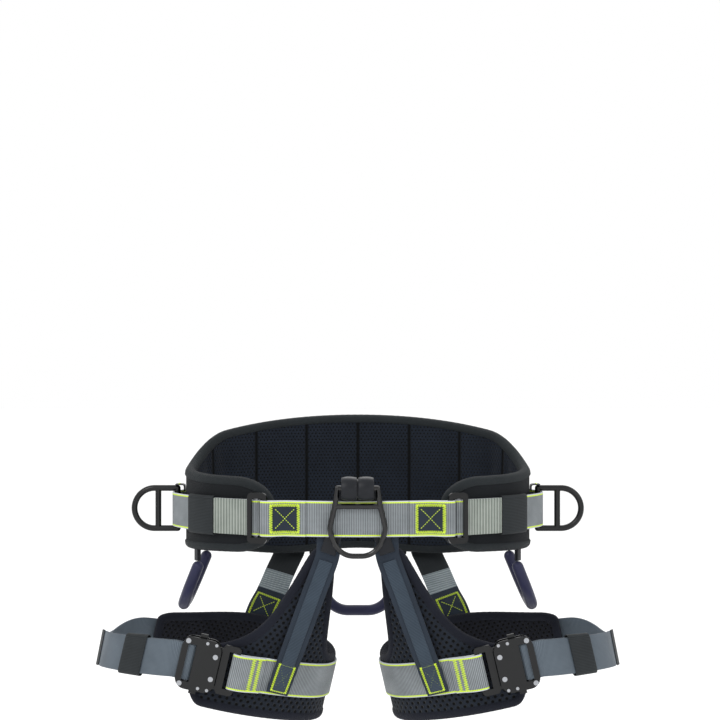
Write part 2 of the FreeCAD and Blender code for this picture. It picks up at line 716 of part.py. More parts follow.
def beyond(x, flat_out, stop, out, settle, sag=lambda t: 0.0):
    """A strap that leaves a buckle at x, flat_out from the oval's front plane, and settles at out
    from the oval, as far as the place stop. Sag is how far it hangs below its level."""
    sign = 1 if x > 0 else -1
    start, level = settling(x, flat_out, out, settle)
    return [leg.at(-(front_face - sign * t), level(t)) - Vector(0, 0, sag(t))
            for t in steps(start + 3, stop, 6)]


def flat_run(start, stop, flat_out):
    return [Vector(x, -size("leg_half_depth") - flat_out, 0) for x in steps(start, stop, 4)]


lap_reach = turn_x + size("leg_fold_overlap")
inner_out, outer_out = leg_under + web / 2, leg_under + web + layer + web / 2
flat_stop = tang_end + 2
outer_layer = flat_run(turn_x + 2, flat_stop, tang_middle + turn_r)
outer_layer += beyond(flat_stop, tang_middle + turn_r, lap_reach, outer_out, 34)
leg_route = list(reversed(outer_layer))
leg_route += turn_back(Vector(turn_x, -size("leg_half_depth") - tang_middle, 0), turn_r,
                       Vector(0, -1, 0), Vector(-1, 0, 0))
leg_route += flat_run(turn_x + 2, flat_stop, tang_middle - turn_r)
leg_route += beyond(flat_stop, tang_middle - turn_r, front_face + size("leg_web_end"), inner_out, 34)
left_leg_web = soft("left_leg_webbing", strap(leg_route, web, half_web), leg_place)
other_side("right_leg_webbing", left_leg_web)

# The riser lies over the leg webbing at its foot and behind the tie loop at its head.
foot_place = -(front_face - size("riser_foot"))
foot = leg_place.multVec(leg.at(foot_place, leg_under + web + layer + size("tape_thick") / 2
                                + size("riser_foot_clear"))
                         + Vector(0, 0, -half_web + 3))
head = Vector(tie_end.x + 3, tie_y + size("tape_thick") + layer, -8)
bend = Vector(head.x - 4, head.y, -size("tie_low") - 6)
riser_line = [head, head + (bend - head) * 0.5, bend] + [bend + (foot - bend) * t for t in
                                                        (0.2, 0.4, 0.6, 0.8, 1)]
foot_across = leg_place.Rotation.multVec(leg.at(foot_place, 0) - leg.at(foot_place + 1, 0)) * -1
left_riser = soft("left_leg_riser", ribbon(riser_line, SIDEWAYS, foot_across, size("riser_width"),
                                           size("tape_thick")))
other_side("right_leg_riser", left_riser)

# ---------------------------------------------------------------- leg buckles, in the leg's own frame


def on_leg(out):
    """The buckle's frame: X towards the inner thigh, Y up and Z away from the leg."""
    middle = Placement(Vector(-size("buckle_centre"), 0, 0), Rotation())
    return leg_place.multiply(standing(leg, -front_face, out)).multiply(middle)


window = ("window_width", "window_height", "- buckle_length / 2 + window_from_end", "0")
left_base = plate("left_buckle_base", "buckle_length", "buckle_height", "buckle_plate",
                  "buckle_corner", [window])
left_base.Placement = on_leg(base_out)
other_side("right_buckle_base", left_base)
left_cover = plate("left_buckle_cover", "buckle_length", "buckle_height", "buckle_plate",
                   "buckle_corner", [window])
cover_out = base_out + size("buckle_plate") + size("buckle_gap")
left_cover.Placement = on_leg(cover_out)
other_side("right_buckle_cover", left_cover)

half_long, half_tall = size("buckle_length") / 2, size("buckle_height") / 2
rivet_spots = [(-half_long + 7, 27, "rivet_r"), (half_long - 6, 14, "rivet_r"),
               (6, half_tall - 4.4, "small_rivet_r"), (half_long - 7.5, half_tall - 4.4, "small_rivet_r")]
rivet_spots += [(x, -y, r) for x, y, r in rivet_spots]
shanks = []
for x, y, r in rivet_spots:
    shank = Part.makeCylinder(size(r) * 0.6, size("buckle_gap"), Vector(x, y, size("buckle_plate")))
    top_head = Part.makeCylinder(size(r), size("rivet_head"),
                                 Vector(x, y, 2 * size("buckle_plate") + size("buckle_gap")))
    back_head = Part.makeCylinder(size(r), size("rivet_head"), Vector(x, y, -size("rivet_head")))
    shanks += [shank, top_head, back_head]
left_rivets = soft("left_buckle_rivets", Part.makeCompound(shanks), on_leg(base_out))
other_side("right_buckle_rivets", left_rivets)

window_x = -half_long + size("window_from_end")
bar_level = size("buckle_plate") + size("buckle_gap") / 2
strap_bar_wide, strap_bar_thick, strap_bar_tall = 4.6, 2.0, size("window_height") + 8
strap_bar = Part.makeBox(strap_bar_wide, strap_bar_tall, strap_bar_thick,
                         Vector(window_x - strap_bar_wide / 2, -strap_bar_tall / 2,
                                bar_level - strap_bar_thick / 2))
left_buckle_bar = soft("left_buckle_bar", strap_bar, on_leg(base_out))
other_side("right_buckle_bar", left_buckle_bar)

gap_middle = size("buckle_plate") + (size("buckle_gap") - size("tang_thick")) / 2
slope = size("latch_travel") / size("release_travel")
hook_from, hook_to = 6.5, 15.5
hook_deep = slope * (hook_to - hook_from)
arm_in, arm_out = 17.2, 21.7
prong_in = arm_out + size("run_gap")
prong_out = prong_in + 4.5
prong_tip = half_long - size("tang_in")


def slab(points, thick, level):
    wire = Part.makePolygon([Vector(x, y, level) for x, y in points + points[:1]])
    return Part.Face(wire).extrude(Vector(0, 0, thick))


# The tang is a fork. A hook on each latch sits in a notch on the inside of its prong, and both have
# the same shallow ramp, so that the latches move in as the tang draws out.
tang_tall = size("tang_height") / 2
edge = half_long + 1
out_x = half_long + size("tang_out")
upper_prong = [(edge, prong_in), (hook_to + 1.2, prong_in), (hook_to + 1.2, prong_in + hook_deep),
               (hook_to, prong_in + hook_deep), (hook_from, prong_in), (prong_tip, prong_in),
               (prong_tip, prong_out), (edge, prong_out)]
wing = [(edge + 3, tang_tall), (out_x, tang_tall)]
tang_outline = upper_prong + wing + [(x, -y) for x, y in reversed(upper_prong + wing)]
tang = slab(tang_outline, size("tang_thick"), gap_middle)
slot_x = out_x - size("tang_edge") - size("tang_slot_width")
tang = tang.cut(Part.makeBox(size("tang_slot_width"), size("tang_slot_height"), 40,
                             Vector(slot_x, -size("tang_slot_height") / 2, 0)))
outer_corners = [e for e in tang.Edges if abs(e.Vertexes[0].Z - e.Vertexes[-1].Z) > 1
                 and abs(e.Vertexes[0].X - out_x) < 0.01]
left_tang = soft("left_buckle_tang", tang.makeFillet(5, outer_corners), on_leg(base_out))
other_side("right_buckle_tang", left_tang)

finger = half_tall + size("latch_poke")
latch_outline = [(-5, arm_in), (-5, finger), (4, finger), (4, arm_out), (hook_from, arm_out),
                 (hook_to, arm_out + hook_deep), (hook_to + 1, arm_out + hook_deep),
                 (hook_to + 1, arm_in)]
for label, sign in (("upper", 1), ("lower", -1)):
    clip = slab([(x, sign * y) for x, y in latch_outline], size("tang_thick"), gap_middle)
    left_latch = soft(f"left_{label}_latch", clip, on_leg(base_out))
    other_side(f"right_{label}_latch", left_latch)

# ---------------------------------------------------------------- adjustable leg strap

bar_turn_r = strap_bar_thick / 2 + 0.6 + web / 2
bar_turn_x = window_x + strap_bar_wide / 2 - 1.2 - size("buckle_centre")
bar_middle = base_out + bar_level
mouth = -(half_long + size("buckle_centre") + 3)
strap_stand = leg_under + web + layer
strap_inner_out = strap_stand + web / 2
strap_outer_out = strap_inner_out + web + layer
strap_settle = 110
strap_far = front_face - size("strap_from")
tail_end = size("strap_tail")


def sag(t):
    """The strap hangs level from the tilted buckle, and rises again to where it is sewn."""
    fall = max(0.0, min(t, tail_end) + mouth) * math.tan(math.radians(size("leg_tilt")))
    return fall * (1 - size("strap_rise") * smooth((t - tail_end - 12) / 60))


def strap_layer(flat_out, reach, out):
    """One layer of the strap, from the buckle's bar outwards round the thigh."""
    return flat_run(bar_turn_x - 2, mouth, flat_out) + beyond(mouth, flat_out, reach, out, strap_settle, sag)


inner_strap = strap_layer(bar_middle - bar_turn_r, strap_far, strap_inner_out)
strap_turn = turn_back(Vector(bar_turn_x, -size("leg_half_depth") - bar_middle, 0), bar_turn_r,
                       Vector(0, 1, 0), Vector(1, 0, 0))
outer_strap = strap_layer(bar_middle + bar_turn_r, tail_end, strap_outer_out)
flag_way = (outer_strap[-1] - outer_strap[-2]).normalize() + Vector(-0.3, 0, 0)
flag = [outer_strap[-1] + flag_way * t for t in (6, 12, 19, 26)]
strap_line = list(reversed(inner_strap)) + strap_turn + outer_strap + flag
left_strap = soft("left_leg_strap", ribbon([leg_place.multVec(point) for point in strap_line],
                                           leg_up, leg_up, size("web_width"), web))
other_side("right_leg_strap", left_strap)
inner_level = settling(mouth, bar_middle - bar_turn_r, strap_inner_out, strap_settle)[1]
outer_level = settling(mouth, bar_middle + bar_turn_r, strap_outer_out, strap_settle)[1]
leg_keeper_from = front_face - size("leg_keeper_start") - size("leg_keeper_length")
left_leg_keeper = soft("left_leg_keeper", keeper(
    leg, leg_keeper_from, leg_keeper_from + size("leg_keeper_length"),
    lambda s: inner_level(front_face - s) - web / 2 - size("run_gap"),
    lambda s: outer_level(front_face - s) + web / 2 + size("run_gap"),
    half_web / math.cos(math.radians(size("leg_tilt"))), lambda s: sag(front_face - s)), leg_place)
other_side("right_leg_keeper", left_leg_keeper)

# ---------------------------------------------------------------- rear risers

rear_x = -size("rear_x")
pad_y = waist.depth - waist.long + math.sqrt(waist.long ** 2 - (size("rear_x") - half_web) ** 2)
anchor_y = pad_y + proud + size("rear_clear") + web / 2
rear_strap_y = anchor_y + web + layer
anchor = ribbon([Vector(rear_x, anchor_y, -z) for z in (size("rear_top"), size("rear_anchor_low"))],
                SIDEWAYS, SIDEWAYS, size("web_width"), web)
left_anchor = soft("left_rear_anchor", anchor)
other_side("right_rear_anchor", left_anchor)
rear_out = leg_under + web + layer + web / 2 + 1.8
pad_back = leg_place.multVec(leg.at(-34, rear_out) + Vector(0, 0, 40))
pad_foot = leg_place.multVec(leg.at(-30, rear_out) + Vector(0, 0, -18))
line = [Vector(rear_x, rear_strap_y, -40), Vector(rear_x - 1, rear_strap_y, -68),
        Vector(rear_x - 5, rear_strap_y - 2.5, -80), Vector(rear_x - 16, rear_strap_y - 22, -103),
        Vector(rear_x - 26, rear_strap_y - 42, -126), pad_back, pad_foot]
left_rear = soft("left_rear_riser", ribbon(line, SIDEWAYS, SIDEWAYS, size("web_width") - 3, web))
other_side("right_rear_riser", left_rear)
left_rear_frame = plate("left_rear_adjuster", "rear_frame_width", "rear_frame_height", "rear_thick", "5",
                        [("5", "web_width + 2", "- 5", "0"), ("5", "web_width + 2", "5", "0")])
left_rear_frame.Placement = Placement(
    Vector(rear_x, rear_strap_y + web / 2 + 0.4, -50),
    Rotation(Vector(0, 0, 1), Vector(-1, 0, 0), Vector(0, 1, 0), "ZXY"))
other_side("right_rear_adjuster", left_rear_frame)

# ---------------------------------------------------------------- check and write

doc.recompute()
for item in doc.Objects:
    if "Invalid" in item.State or "Error" in item.State:
        raise RuntimeError(f"{item.Name} failed: {item.State}")
os.makedirs("parts", exist_ok=True)
for label in LABELS:
    piece = doc.getObjectsByLabel(label)[0]
    if piece.Shape.isNull() or not piece.Shape.isValid():
        raise RuntimeError(f"{label} has no valid shape")
    if not piece.Shape.Solids or piece.Shape.Volume <= 0:
        raise RuntimeError(f"{label} is not a closed solid")
    piece.Shape.exportStep(f"parts/{label}.step")
print(len(LABELS), "sub-parts written")
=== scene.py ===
# %% [markdown]
# A tree climbing saddle is sewn, not machined. A padded belt goes round the waist, two padded loops go
# round the thighs, and flat webbing joins them through steel rings and buckles. The steel comes from the
# packed design. Everything that is cloth is cut flat here and then bent round the body, as a sewer does.

# %% Load the frame
import bisect
import json
import math
import bmesh
import bpy
from mathutils import Matrix, Vector

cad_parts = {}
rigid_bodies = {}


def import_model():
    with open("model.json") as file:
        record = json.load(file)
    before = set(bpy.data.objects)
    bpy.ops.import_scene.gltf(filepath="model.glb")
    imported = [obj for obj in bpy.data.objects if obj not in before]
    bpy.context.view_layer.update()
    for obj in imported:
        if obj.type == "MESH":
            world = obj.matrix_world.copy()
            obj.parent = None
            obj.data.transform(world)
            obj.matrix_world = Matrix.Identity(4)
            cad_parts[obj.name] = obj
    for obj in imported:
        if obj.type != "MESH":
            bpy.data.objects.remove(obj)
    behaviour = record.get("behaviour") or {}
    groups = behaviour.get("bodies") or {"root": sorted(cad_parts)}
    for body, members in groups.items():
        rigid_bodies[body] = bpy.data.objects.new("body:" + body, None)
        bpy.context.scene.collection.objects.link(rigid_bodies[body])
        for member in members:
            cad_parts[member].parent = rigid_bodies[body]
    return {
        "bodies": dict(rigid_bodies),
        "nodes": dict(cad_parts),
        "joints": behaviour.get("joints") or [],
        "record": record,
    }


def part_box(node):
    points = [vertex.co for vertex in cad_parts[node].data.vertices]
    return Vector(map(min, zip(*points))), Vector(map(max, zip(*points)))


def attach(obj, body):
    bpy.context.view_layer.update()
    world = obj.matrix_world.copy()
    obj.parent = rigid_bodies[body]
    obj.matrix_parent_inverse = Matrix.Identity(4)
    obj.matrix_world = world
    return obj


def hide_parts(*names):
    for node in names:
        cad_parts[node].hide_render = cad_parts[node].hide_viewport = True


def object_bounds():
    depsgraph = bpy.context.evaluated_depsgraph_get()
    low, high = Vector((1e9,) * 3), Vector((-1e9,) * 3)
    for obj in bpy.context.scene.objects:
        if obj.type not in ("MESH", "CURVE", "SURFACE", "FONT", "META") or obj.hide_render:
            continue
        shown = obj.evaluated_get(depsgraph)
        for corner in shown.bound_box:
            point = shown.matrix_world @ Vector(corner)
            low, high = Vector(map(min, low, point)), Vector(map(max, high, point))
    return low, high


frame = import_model()
design_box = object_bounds()
MM = 0.001
print("the design measures", [round(b - a, 3) for a, b in zip(*design_box)])

# %% [markdown]
# The camera stands level, a little above the belt and under two metres in front of it, with a lens that
# is slightly long. A pale floor lies well below, because a saddle hangs from its wearer, and four large
# soft lamps give the even light of a studio.

# %% Camera, floor and light
CAMERA_PLACE = Vector((3, -1882, 199)) * MM
camera = bpy.data.objects.new("camera", bpy.data.cameras.new("camera"))
camera.location = CAMERA_PLACE
camera.rotation_euler = (math.radians(90), 0, 0)
camera.data.sensor_width = 36
camera.data.lens = 70
bpy.context.scene.collection.objects.link(camera)
bpy.context.scene.camera = camera


def lamp(name, place, size, watts):
    """A square soft lamp that looks at the belt."""
    light = bpy.data.lights.new(name, "AREA")
    light.size, light.energy = size, watts
    body = bpy.data.objects.new(name, light)
    body.location = place
    body.rotation_euler = (Vector((0, 0, -0.06)) - Vector(place)).to_track_quat("-Z", "Y").to_euler()
    bpy.context.scene.collection.objects.link(body)


lamp("key_lamp", (-1.2, -1.8, 1.5), 0.8, 17)
lamp("fill_lamp", (1.5, -1.7, 0.8), 1.2, 6)
lamp("back_lamp", (0.2, 1.6, 1.6), 1.2, 10)
lamp("low_lamp", (0.0, -1.5, -0.35), 0.9, 1)
world = bpy.data.worlds.new("studio")
world.use_nodes = True
world.node_tree.nodes["Background"].inputs["Color"].default_value = (1, 1, 1, 1)
world.node_tree.nodes["Background"].inputs["Strength"].default_value = 1.0
bpy.context.scene.world = world
bpy.context.scene.view_settings.view_transform = "Standard"

FLOOR_DROP = 0.12
bpy.ops.mesh.primitive_plane_add(size=30, location=(0, 0, design_box[0].z - FLOOR_DROP))
floor = bpy.context.object
floor.name = "floor"
paper = bpy.data.materials.new("white_paper")
paper.use_nodes = True
paper_shader = paper.node_tree.nodes["Principled BSDF"]
paper_shader.inputs["Base Color"].default_value = (0.93, 0.93, 0.93, 1)
paper_shader.inputs["Emission Color"].default_value = (1, 1, 1, 1)
paper_shader.inputs["Emission Strength"].default_value = 0.12
paper_shader.inputs["Roughness"].default_value = 0.9
floor.data.materials.append(paper)
print("floor at", round(floor.location.z, 3))

# %% [markdown]
# Every finish is a small tree of nodes on one Principled shader. Colours are written as the sRGB hex that
# a dyer or painter would match, and one function turns them to the linear values that Blender mixes.

# %% Helpers for materials
def linear(colour, alpha=1.0):
    """An sRGB hex colour as Blender's linear values."""
    values = [int(colour[i:i + 2], 16) / 255 for i in (1, 3, 5)]
    return [v / 12.92 if v <= 0.04045 else ((v + 0.055) / 1.055) ** 2.4 for v in values] + [alpha]


def add(tree, kind, settings=None, **links):
    """Adds a node: settings are its properties or its sockets' values, links join other nodes' outputs."""
    node = tree.nodes.new(kind)
    for name, value in (settings or {}).items():
        if isinstance(name, int) or name in node.inputs:
            node.inputs[name].default_value = value
        else:
            setattr(node, name, value)
    for name, source in links.items():
        socket = node.inputs[int(name[1:])] if name[0] == "_" else node.inputs[name.replace("_", " ")]
        tree.links.new(source, socket)
    return node


def finish(name, roughness, metallic=0.0, sheen=0.0, coat=0.0, shine=0.25):
    """A new material: returns it with its tree and its shader."""
    material = bpy.data.materials.new(name)
    material.use_nodes = True
    tree = material.node_tree
    shader = tree.nodes["Principled BSDF"]
    shader.inputs["Roughness"].default_value = roughness
    shader.inputs["Metallic"].default_value = metallic
    shader.inputs["Sheen Weight"].default_value = sheen
    shader.inputs["Sheen Roughness"].default_value = 0.5
    shader.inputs["Coat Weight"].default_value = coat
    shader.inputs["Specular IOR Level"].default_value = shine
    return material, tree, shader


def calc(tree, operation, a, b=0.0, c=0.0):
    """One step of arithmetic; a, b and c are numbers or outputs."""
    node = tree.nodes.new("ShaderNodeMath")
    node.operation = operation
    for socket, value in zip(node.inputs, (a, b, c)):
        if isinstance(value, (int, float)):
            socket.default_value = value
        else:
            tree.links.new(value, socket)
    return node.outputs[0]


def flat_place(tree):
    """The piece's own flat pattern in millimetres: along it, and across it."""
    uv = add(tree, "ShaderNodeUVMap", {"uv_map": "pattern"})
    split = add(tree, "ShaderNodeSeparateXYZ", Vector=uv.outputs["UV"])
    return split.outputs["X"], split.outputs["Y"]


def paint(tree, shader, colour, height=None, depth=0.0003, strength=1.0):
    """Joins a colour and a height in metres of depth to the shader."""
    tree.links.new(colour, shader.inputs["Base Color"])
    if height is not None:
        bump = add(tree, "ShaderNodeBump", {"Strength": strength, "Distance": depth}, Height=height)
        tree.links.new(bump.outputs["Normal"], shader.inputs["Normal"])


def blend_colours(tree, factor, first, second):
    """A colour between two, by a factor from 0 to 1; either may be a hex or an output."""
    node = tree.nodes.new("ShaderNodeMix")
    node.data_type = "RGBA"
    tree.links.new(factor, node.inputs["Factor"])
    for name, colour in (("A", first), ("B", second)):
        socket = next(s for s in node.inputs if s.name == name and s.type == "RGBA")
        if isinstance(colour, str):
            socket.default_value = linear(colour)
        else:
            tree.links.new(colour, socket)
    return next(s for s in node.outputs if s.type == "RGBA")


def dye_and_sheen_mottle(tree, scale, amount=1.0):
    """Soft uneven tone, from 0 to amount: uneven dye and wear on the plastic, twill and mesh, and painted
    sheen bands on the webbing.
    """
    place = add(tree, "ShaderNodeTexCoord")
    noise = add(tree, "ShaderNodeTexNoise", {"Scale": scale, "Detail": 3.0}, Vector=place.outputs["Object"])
    return calc(tree, "MULTIPLY", noise.outputs["Fac"], amount)


print("helpers for materials are ready")

# %% [markdown]
# The steel parts are coated. The side rings, adjusters and buckle plates have a satin black powder coat;
# its fine orange-peel grain breaks the highlights up. The ventral ring is glossier. The rivets are bare
# stainless steel, and the moulded gear loops are a tough indigo plastic with a soft surface.

# %% Finishes of the hard parts
def coated_steel(name, colour, roughness, coat, grain):
    """Powder-coated steel: black paint with a fine bumpy skin, slightly paler where it is rubbed."""
    material, tree, shader = finish(name, roughness, coat=coat)
    place = add(tree, "ShaderNodeTexCoord").outputs["Object"]
    peel = add(tree, "ShaderNodeTexNoise", {"Scale": 900.0, "Detail": 2.0}, Vector=place).outputs["Fac"]
    rubbed = add(tree, "ShaderNodeTexNoise", {"Scale": 60.0, "Detail": 4.0}, Vector=place).outputs["Fac"]
    rubbed = calc(tree, "MULTIPLY", rubbed, 0.25)
    paint(tree, shader, blend_colours(tree, rubbed, colour, "#1f2124"), peel, grain * MM, 0.4)
    return material


satin_black_steel = coated_steel("powder_coated_steel", "#08090a", 0.3, 0.15, 0.05)
gloss_black_steel = coated_steel("gloss_coated_steel", "#050506", 0.14, 0.4, 0.02)


def bright_rivet_steel():
    """Bare stainless steel, turned: a pale metal with a faint brushed grain."""
    material, tree, shader = finish("stainless_steel", 0.3, metallic=1.0, shine=0.5)
    place = add(tree, "ShaderNodeTexCoord").outputs["Object"]
    grain = add(tree, "ShaderNodeTexNoise", {"Scale": 700.0, "Detail": 2.0}, Vector=place).outputs["Fac"]
    paint(tree, shader, blend_colours(tree, grain, "#85888d", "#b4b6ba"), grain, 0.03 * MM, 0.5)
    return material


stainless_steel = bright_rivet_steel()


def moulded_loop_plastic():
    """Thermoplastic polyurethane, moulded: dyed indigo, soft highlights, a fine eggshell surface."""
    material, tree, shader = finish("polyurethane", 0.46, sheen=0.15)
    place = add(tree, "ShaderNodeTexCoord").outputs["Object"]
    egg = add(tree, "ShaderNodeTexNoise", {"Scale": 500.0, "Detail": 3.0}, Vector=place).outputs["Fac"]
    paint(tree, shader, blend_colours(tree, dye_and_sheen_mottle(tree, 25, 0.9), "#17182f", "#26284a"), egg, 0.1 * MM, 0.5)
    return material


polyurethane = moulded_loop_plastic()
print("hard finishes:", satin_black_steel.name, gloss_black_steel.name, stainless_steel.name)

# %% [markdown]
# Webbing is woven polyester. Seen close, it has ribs that run across it, a fine warp along it, and a
# selvedge at each edge where the weft turns back. On the belt a bright yellow-green thread runs just
# inside each selvedge. The pattern is read from the strap's own flat pattern in millimetres, so that it
# follows the strap round every bend.
# Broad soft light and dark bands of painted sheen lie over every webbing as well.

# %% Finishes of the woven parts
def ribs(tree, along, pitch):
    """Rounded ribs across a strap, from 0 in the grooves to 1 on the crests."""
    wave = calc(tree, "SINE", calc(tree, "MULTIPLY", along, 2 * math.pi / pitch))
    return calc(tree, "MULTIPLY_ADD", wave, 0.5, 0.5)


def above(tree, value, edge, soft=0.2):
    """0 below an edge and 1 above it, over a soft width."""
    low = calc(tree, "SUBTRACT", value, edge - soft)
    node = calc(tree, "DIVIDE", low, 2 * soft)
    clamp = add(tree, "ShaderNodeClamp", Value=node)
    return clamp.outputs[0]


def webbing(name, dark, light, pitch, edge_thread=None, half_width=22.5, rib_depth=0.35, sheen=0.08):
    """Polyester webbing: ribs of a pitch in millimetres, and threads of colour beside the selvedges."""
    material, tree, shader = finish(name, 0.62, sheen=sheen, shine=0.2)
    along, across = flat_place(tree)
    rib = ribs(tree, along, pitch)
    warp = ribs(tree, across, 1.5)
    # Painted sheen: broad soft light and dark patches from a noise stand in for the sheen that the lamps lay
    # along the webbing.
    painted_sheen_bands = dye_and_sheen_mottle(tree, 34, 0.5)
    tone = calc(tree, "MULTIPLY_ADD", warp, 0.22, calc(tree, "MULTIPLY", rib, 0.62))
    tone = calc(tree, "ADD", tone, calc(tree, "SUBTRACT", painted_sheen_bands, 0.18))
    colour = blend_colours(tree, add(tree, "ShaderNodeClamp", Value=tone).outputs[0], dark, light)
    height = calc(tree, "MULTIPLY_ADD", warp, 0.25, rib)
    if edge_thread:
        reach = calc(tree, "ABSOLUTE", across)
        selvedge = above(tree, reach, half_width - 1.3, 0.15)
        thread = above(tree, reach, half_width - 2.9, 0.2)
        dashes = calc(tree, "MULTIPLY_ADD", ribs(tree, along, 2.4), 0.35, 0.65)
        colour = blend_colours(tree, calc(tree, "MULTIPLY", thread, dashes), colour, edge_thread)
        colour = blend_colours(tree, selvedge, colour, "#b9bec2")
        height = calc(tree, "MAXIMUM", height, thread)
    paint(tree, shader, colour, height, rib_depth * MM)
    return material


NEON = "#d2ee1e"
belt_webbing = webbing("polyester_webbing", "#363c41", "#9da3a6", 2.2, NEON)
tail_webbing = webbing("ribbed_webbing", "#555d57", "#a9b0a8", 4.2, rib_depth=0.9)
strap_webbing = webbing("plain_webbing", "#353d45", "#646f79", 1.6, rib_depth=0.2)
riser_webbing = webbing("twill_webbing", "#121820", "#2a3543", 1.4, rib_depth=0.2)
tape_webbing = webbing("slate_tape", "#1e2731", "#3d4a57", 1.8, rib_depth=0.25)
rear_webbing = webbing("pale_ribbed_webbing", "#616c71", "#a4aeb2", 3.4, rib_depth=0.8)
keeper_elastic = webbing("woven_elastic", "#121517", "#2a2f32", 1.9, rib_depth=0.2, sheen=0.02)
roll_cloth = webbing("satin_webbing", "#0b0c0f", "#23262c", 1.2, rib_depth=0.06, sheen=0.02)
roll_cloth.node_tree.nodes["Principled BSDF"].inputs["Roughness"].default_value = 0.34


def neon_thread_finish():
    """Bonded polyester thread: bright yellow-green, with a twist that catches the light."""
    material, tree, shader = finish("bonded_thread", 0.5, sheen=0.3)
    place = add(tree, "ShaderNodeTexCoord").outputs["Object"]
    twist = add(tree, "ShaderNodeTexNoise", {"Scale": 1500.0}, Vector=place).outputs["Fac"]
    paint(tree, shader, blend_colours(tree, twist, "#b4d60c", "#e6fb4a"), twist, 0.2 * MM)
    return material


neon_thread = neon_thread_finish()


def twill(name, dark, light, pitch, roughness=0.8):
    """Twill cloth: fine diagonal ridges. Real ones are about 0.7 mm apart; these are drawn coarser."""
    material, tree, shader = finish(name, roughness, sheen=0.04, shine=0.12)
    along, across = flat_place(tree)
    ridge = ribs(tree, calc(tree, "ADD", along, across), pitch)
    cross = ribs(tree, calc(tree, "SUBTRACT", along, across), pitch * 0.8)
    height = calc(tree, "MULTIPLY_ADD", cross, 0.35, ridge)
    tone = calc(tree, "MULTIPLY_ADD", dye_and_sheen_mottle(tree, 18), 0.6, calc(tree, "MULTIPLY", height, 0.4))
    paint(tree, shader, blend_colours(tree, tone, dark, light), height, 0.25 * MM)
    return material


cover_twill = twill("nylon_twill", "#090b0d", "#1c1f23", 1.3)
edge_tape = twill("binding_tape", "#15181a", "#2c3134", 1.0, 0.7)
leg_tape = twill("navy_binding_tape", "#0e1017", "#20232e", 1.0, 0.75)


def holes(tree, along, across, pitch_along, pitch_across, radius):
    """Staggered round holes: 1 in a hole, 0 on the cloth between."""
    row = calc(tree, "FLOOR", calc(tree, "DIVIDE", across, pitch_across))
    stagger = calc(tree, "MULTIPLY", calc(tree, "PINGPONG", row, 1.0), 0.5)
    step = calc(tree, "ADD", calc(tree, "DIVIDE", along, pitch_along), stagger)
    x = calc(tree, "MULTIPLY", calc(tree, "SUBTRACT", calc(tree, "FRACT", step), 0.5), pitch_along)
    rest = calc(tree, "FRACT", calc(tree, "DIVIDE", across, pitch_across))
    y = calc(tree, "MULTIPLY", calc(tree, "SUBTRACT", rest, 0.5), pitch_across)
    squares = calc(tree, "ADD", calc(tree, "MULTIPLY", x, x), calc(tree, "MULTIPLY", y, y))
    return calc(tree, "SUBTRACT", 1.0, above(tree, calc(tree, "SQRT", squares), radius, radius * 0.28))


def spacer_mesh(name, dark, light, hole, pitch_along, pitch_across, radius, depth, channels=0.0):
    """Knitted spacer mesh: a soft open face whose holes show the dark layer beneath. Where it is sewn
    down in channels, at a pitch along it, the mesh is pressed flat and dark."""
    material, tree, shader = finish(name, 0.85, sheen=0.06, shine=0.12)
    along, across = flat_place(tree)
    opening = holes(tree, along, across, pitch_along, pitch_across, radius)
    knit = ribs(tree, calc(tree, "ADD", along, across), 1.3)
    cloth = blend_colours(tree, calc(tree, "MULTIPLY_ADD", knit, 0.35, dye_and_sheen_mottle(tree, 22, 0.7)), dark, light)
    if channels:
        share = calc(tree, "FRACT", calc(tree, "DIVIDE", calc(tree, "ADD", along, 10.5 * channels), channels))
        away = calc(tree, "MULTIPLY", calc(tree, "ABSOLUTE", calc(tree, "SUBTRACT", share, 0.5)), channels)
        seam = calc(tree, "SUBTRACT", 1.0, above(tree, away, 2.2, 1.2))
        opening = calc(tree, "MAXIMUM", opening, seam)
    height = calc(tree, "MULTIPLY_ADD", knit, 0.12, calc(tree, "SUBTRACT", 1.0, opening))
    paint(tree, shader, blend_colours(tree, opening, cloth, hole), height, depth * MM)
    return material


lining_mesh = spacer_mesh("fine_spacer_mesh", "#0c1016", "#202732", "#020304", 5.2, 4.4, 1.15, 0.9,
                          channels=76.0)
leg_mesh = spacer_mesh("coarse_spacer_mesh", "#10141b", "#272d37", "#020304", 9.0, 5.6, 2.0, 1.6)
leg_lining = spacer_mesh("leg_spacer_mesh", "#0b0c10", "#1f2129", "#020203", 8.0, 5.0, 1.7, 1.3)
print("woven finishes:", len(bpy.data.materials))

# %% [markdown]
# Sewn goods are cut flat, so each piece here is made flat too, in millimetres: X along it, Y across it and
# Z through it. Its place on the flat pattern is written down as its UV map before it is bent. Then it is
# bent: a strap along a route, a pad round one of the two ovals that the waist and the thigh make.

# %% Ovals, routes and flat pieces
UP, SIDEWAYS = Vector((0, 0, 1)), Vector((1, 0, 0))


class Oval:
    """A four-arc oval. Places on it are arc lengths from the middle of the back, growing towards -X."""

    def __init__(self, half_width, half_depth, side_radius):
        a, b, r = half_width, half_depth, side_radius
        self.shift, self.depth, self.side = a - r, b, r
        self.long = ((a - r) ** 2 + b * b - r * r) / (2 * (b - r))
        self.turn = math.atan2(a - r, self.long - b)
        self.back = self.long * self.turn
        self.half = 2 * self.back + r * (math.pi - 2 * self.turn)

    def at(self, place, out=0.0, height=0.0):
        """The point at a place, moved outwards by out and up by height."""
        t = place % (2 * self.half)
        sign = -1
        if t > self.half:
            t, sign = 2 * self.half - t, 1
        if t <= self.back:
            angle, centre, radius = t / self.long, (0, self.depth - self.long), self.long
        elif t < self.half - self.back:
            angle, centre, radius = self.turn + (t - self.back) / self.side, (self.shift, 0), self.side
        else:
            angle = math.pi - (self.half - t) / self.long
            centre, radius = (0, self.long - self.depth), self.long
        return Vector((sign * (centre[0] + (radius + out) * math.sin(angle)),
                       centre[1] + (radius + out) * math.cos(angle), height))


LATE_TURN = 3


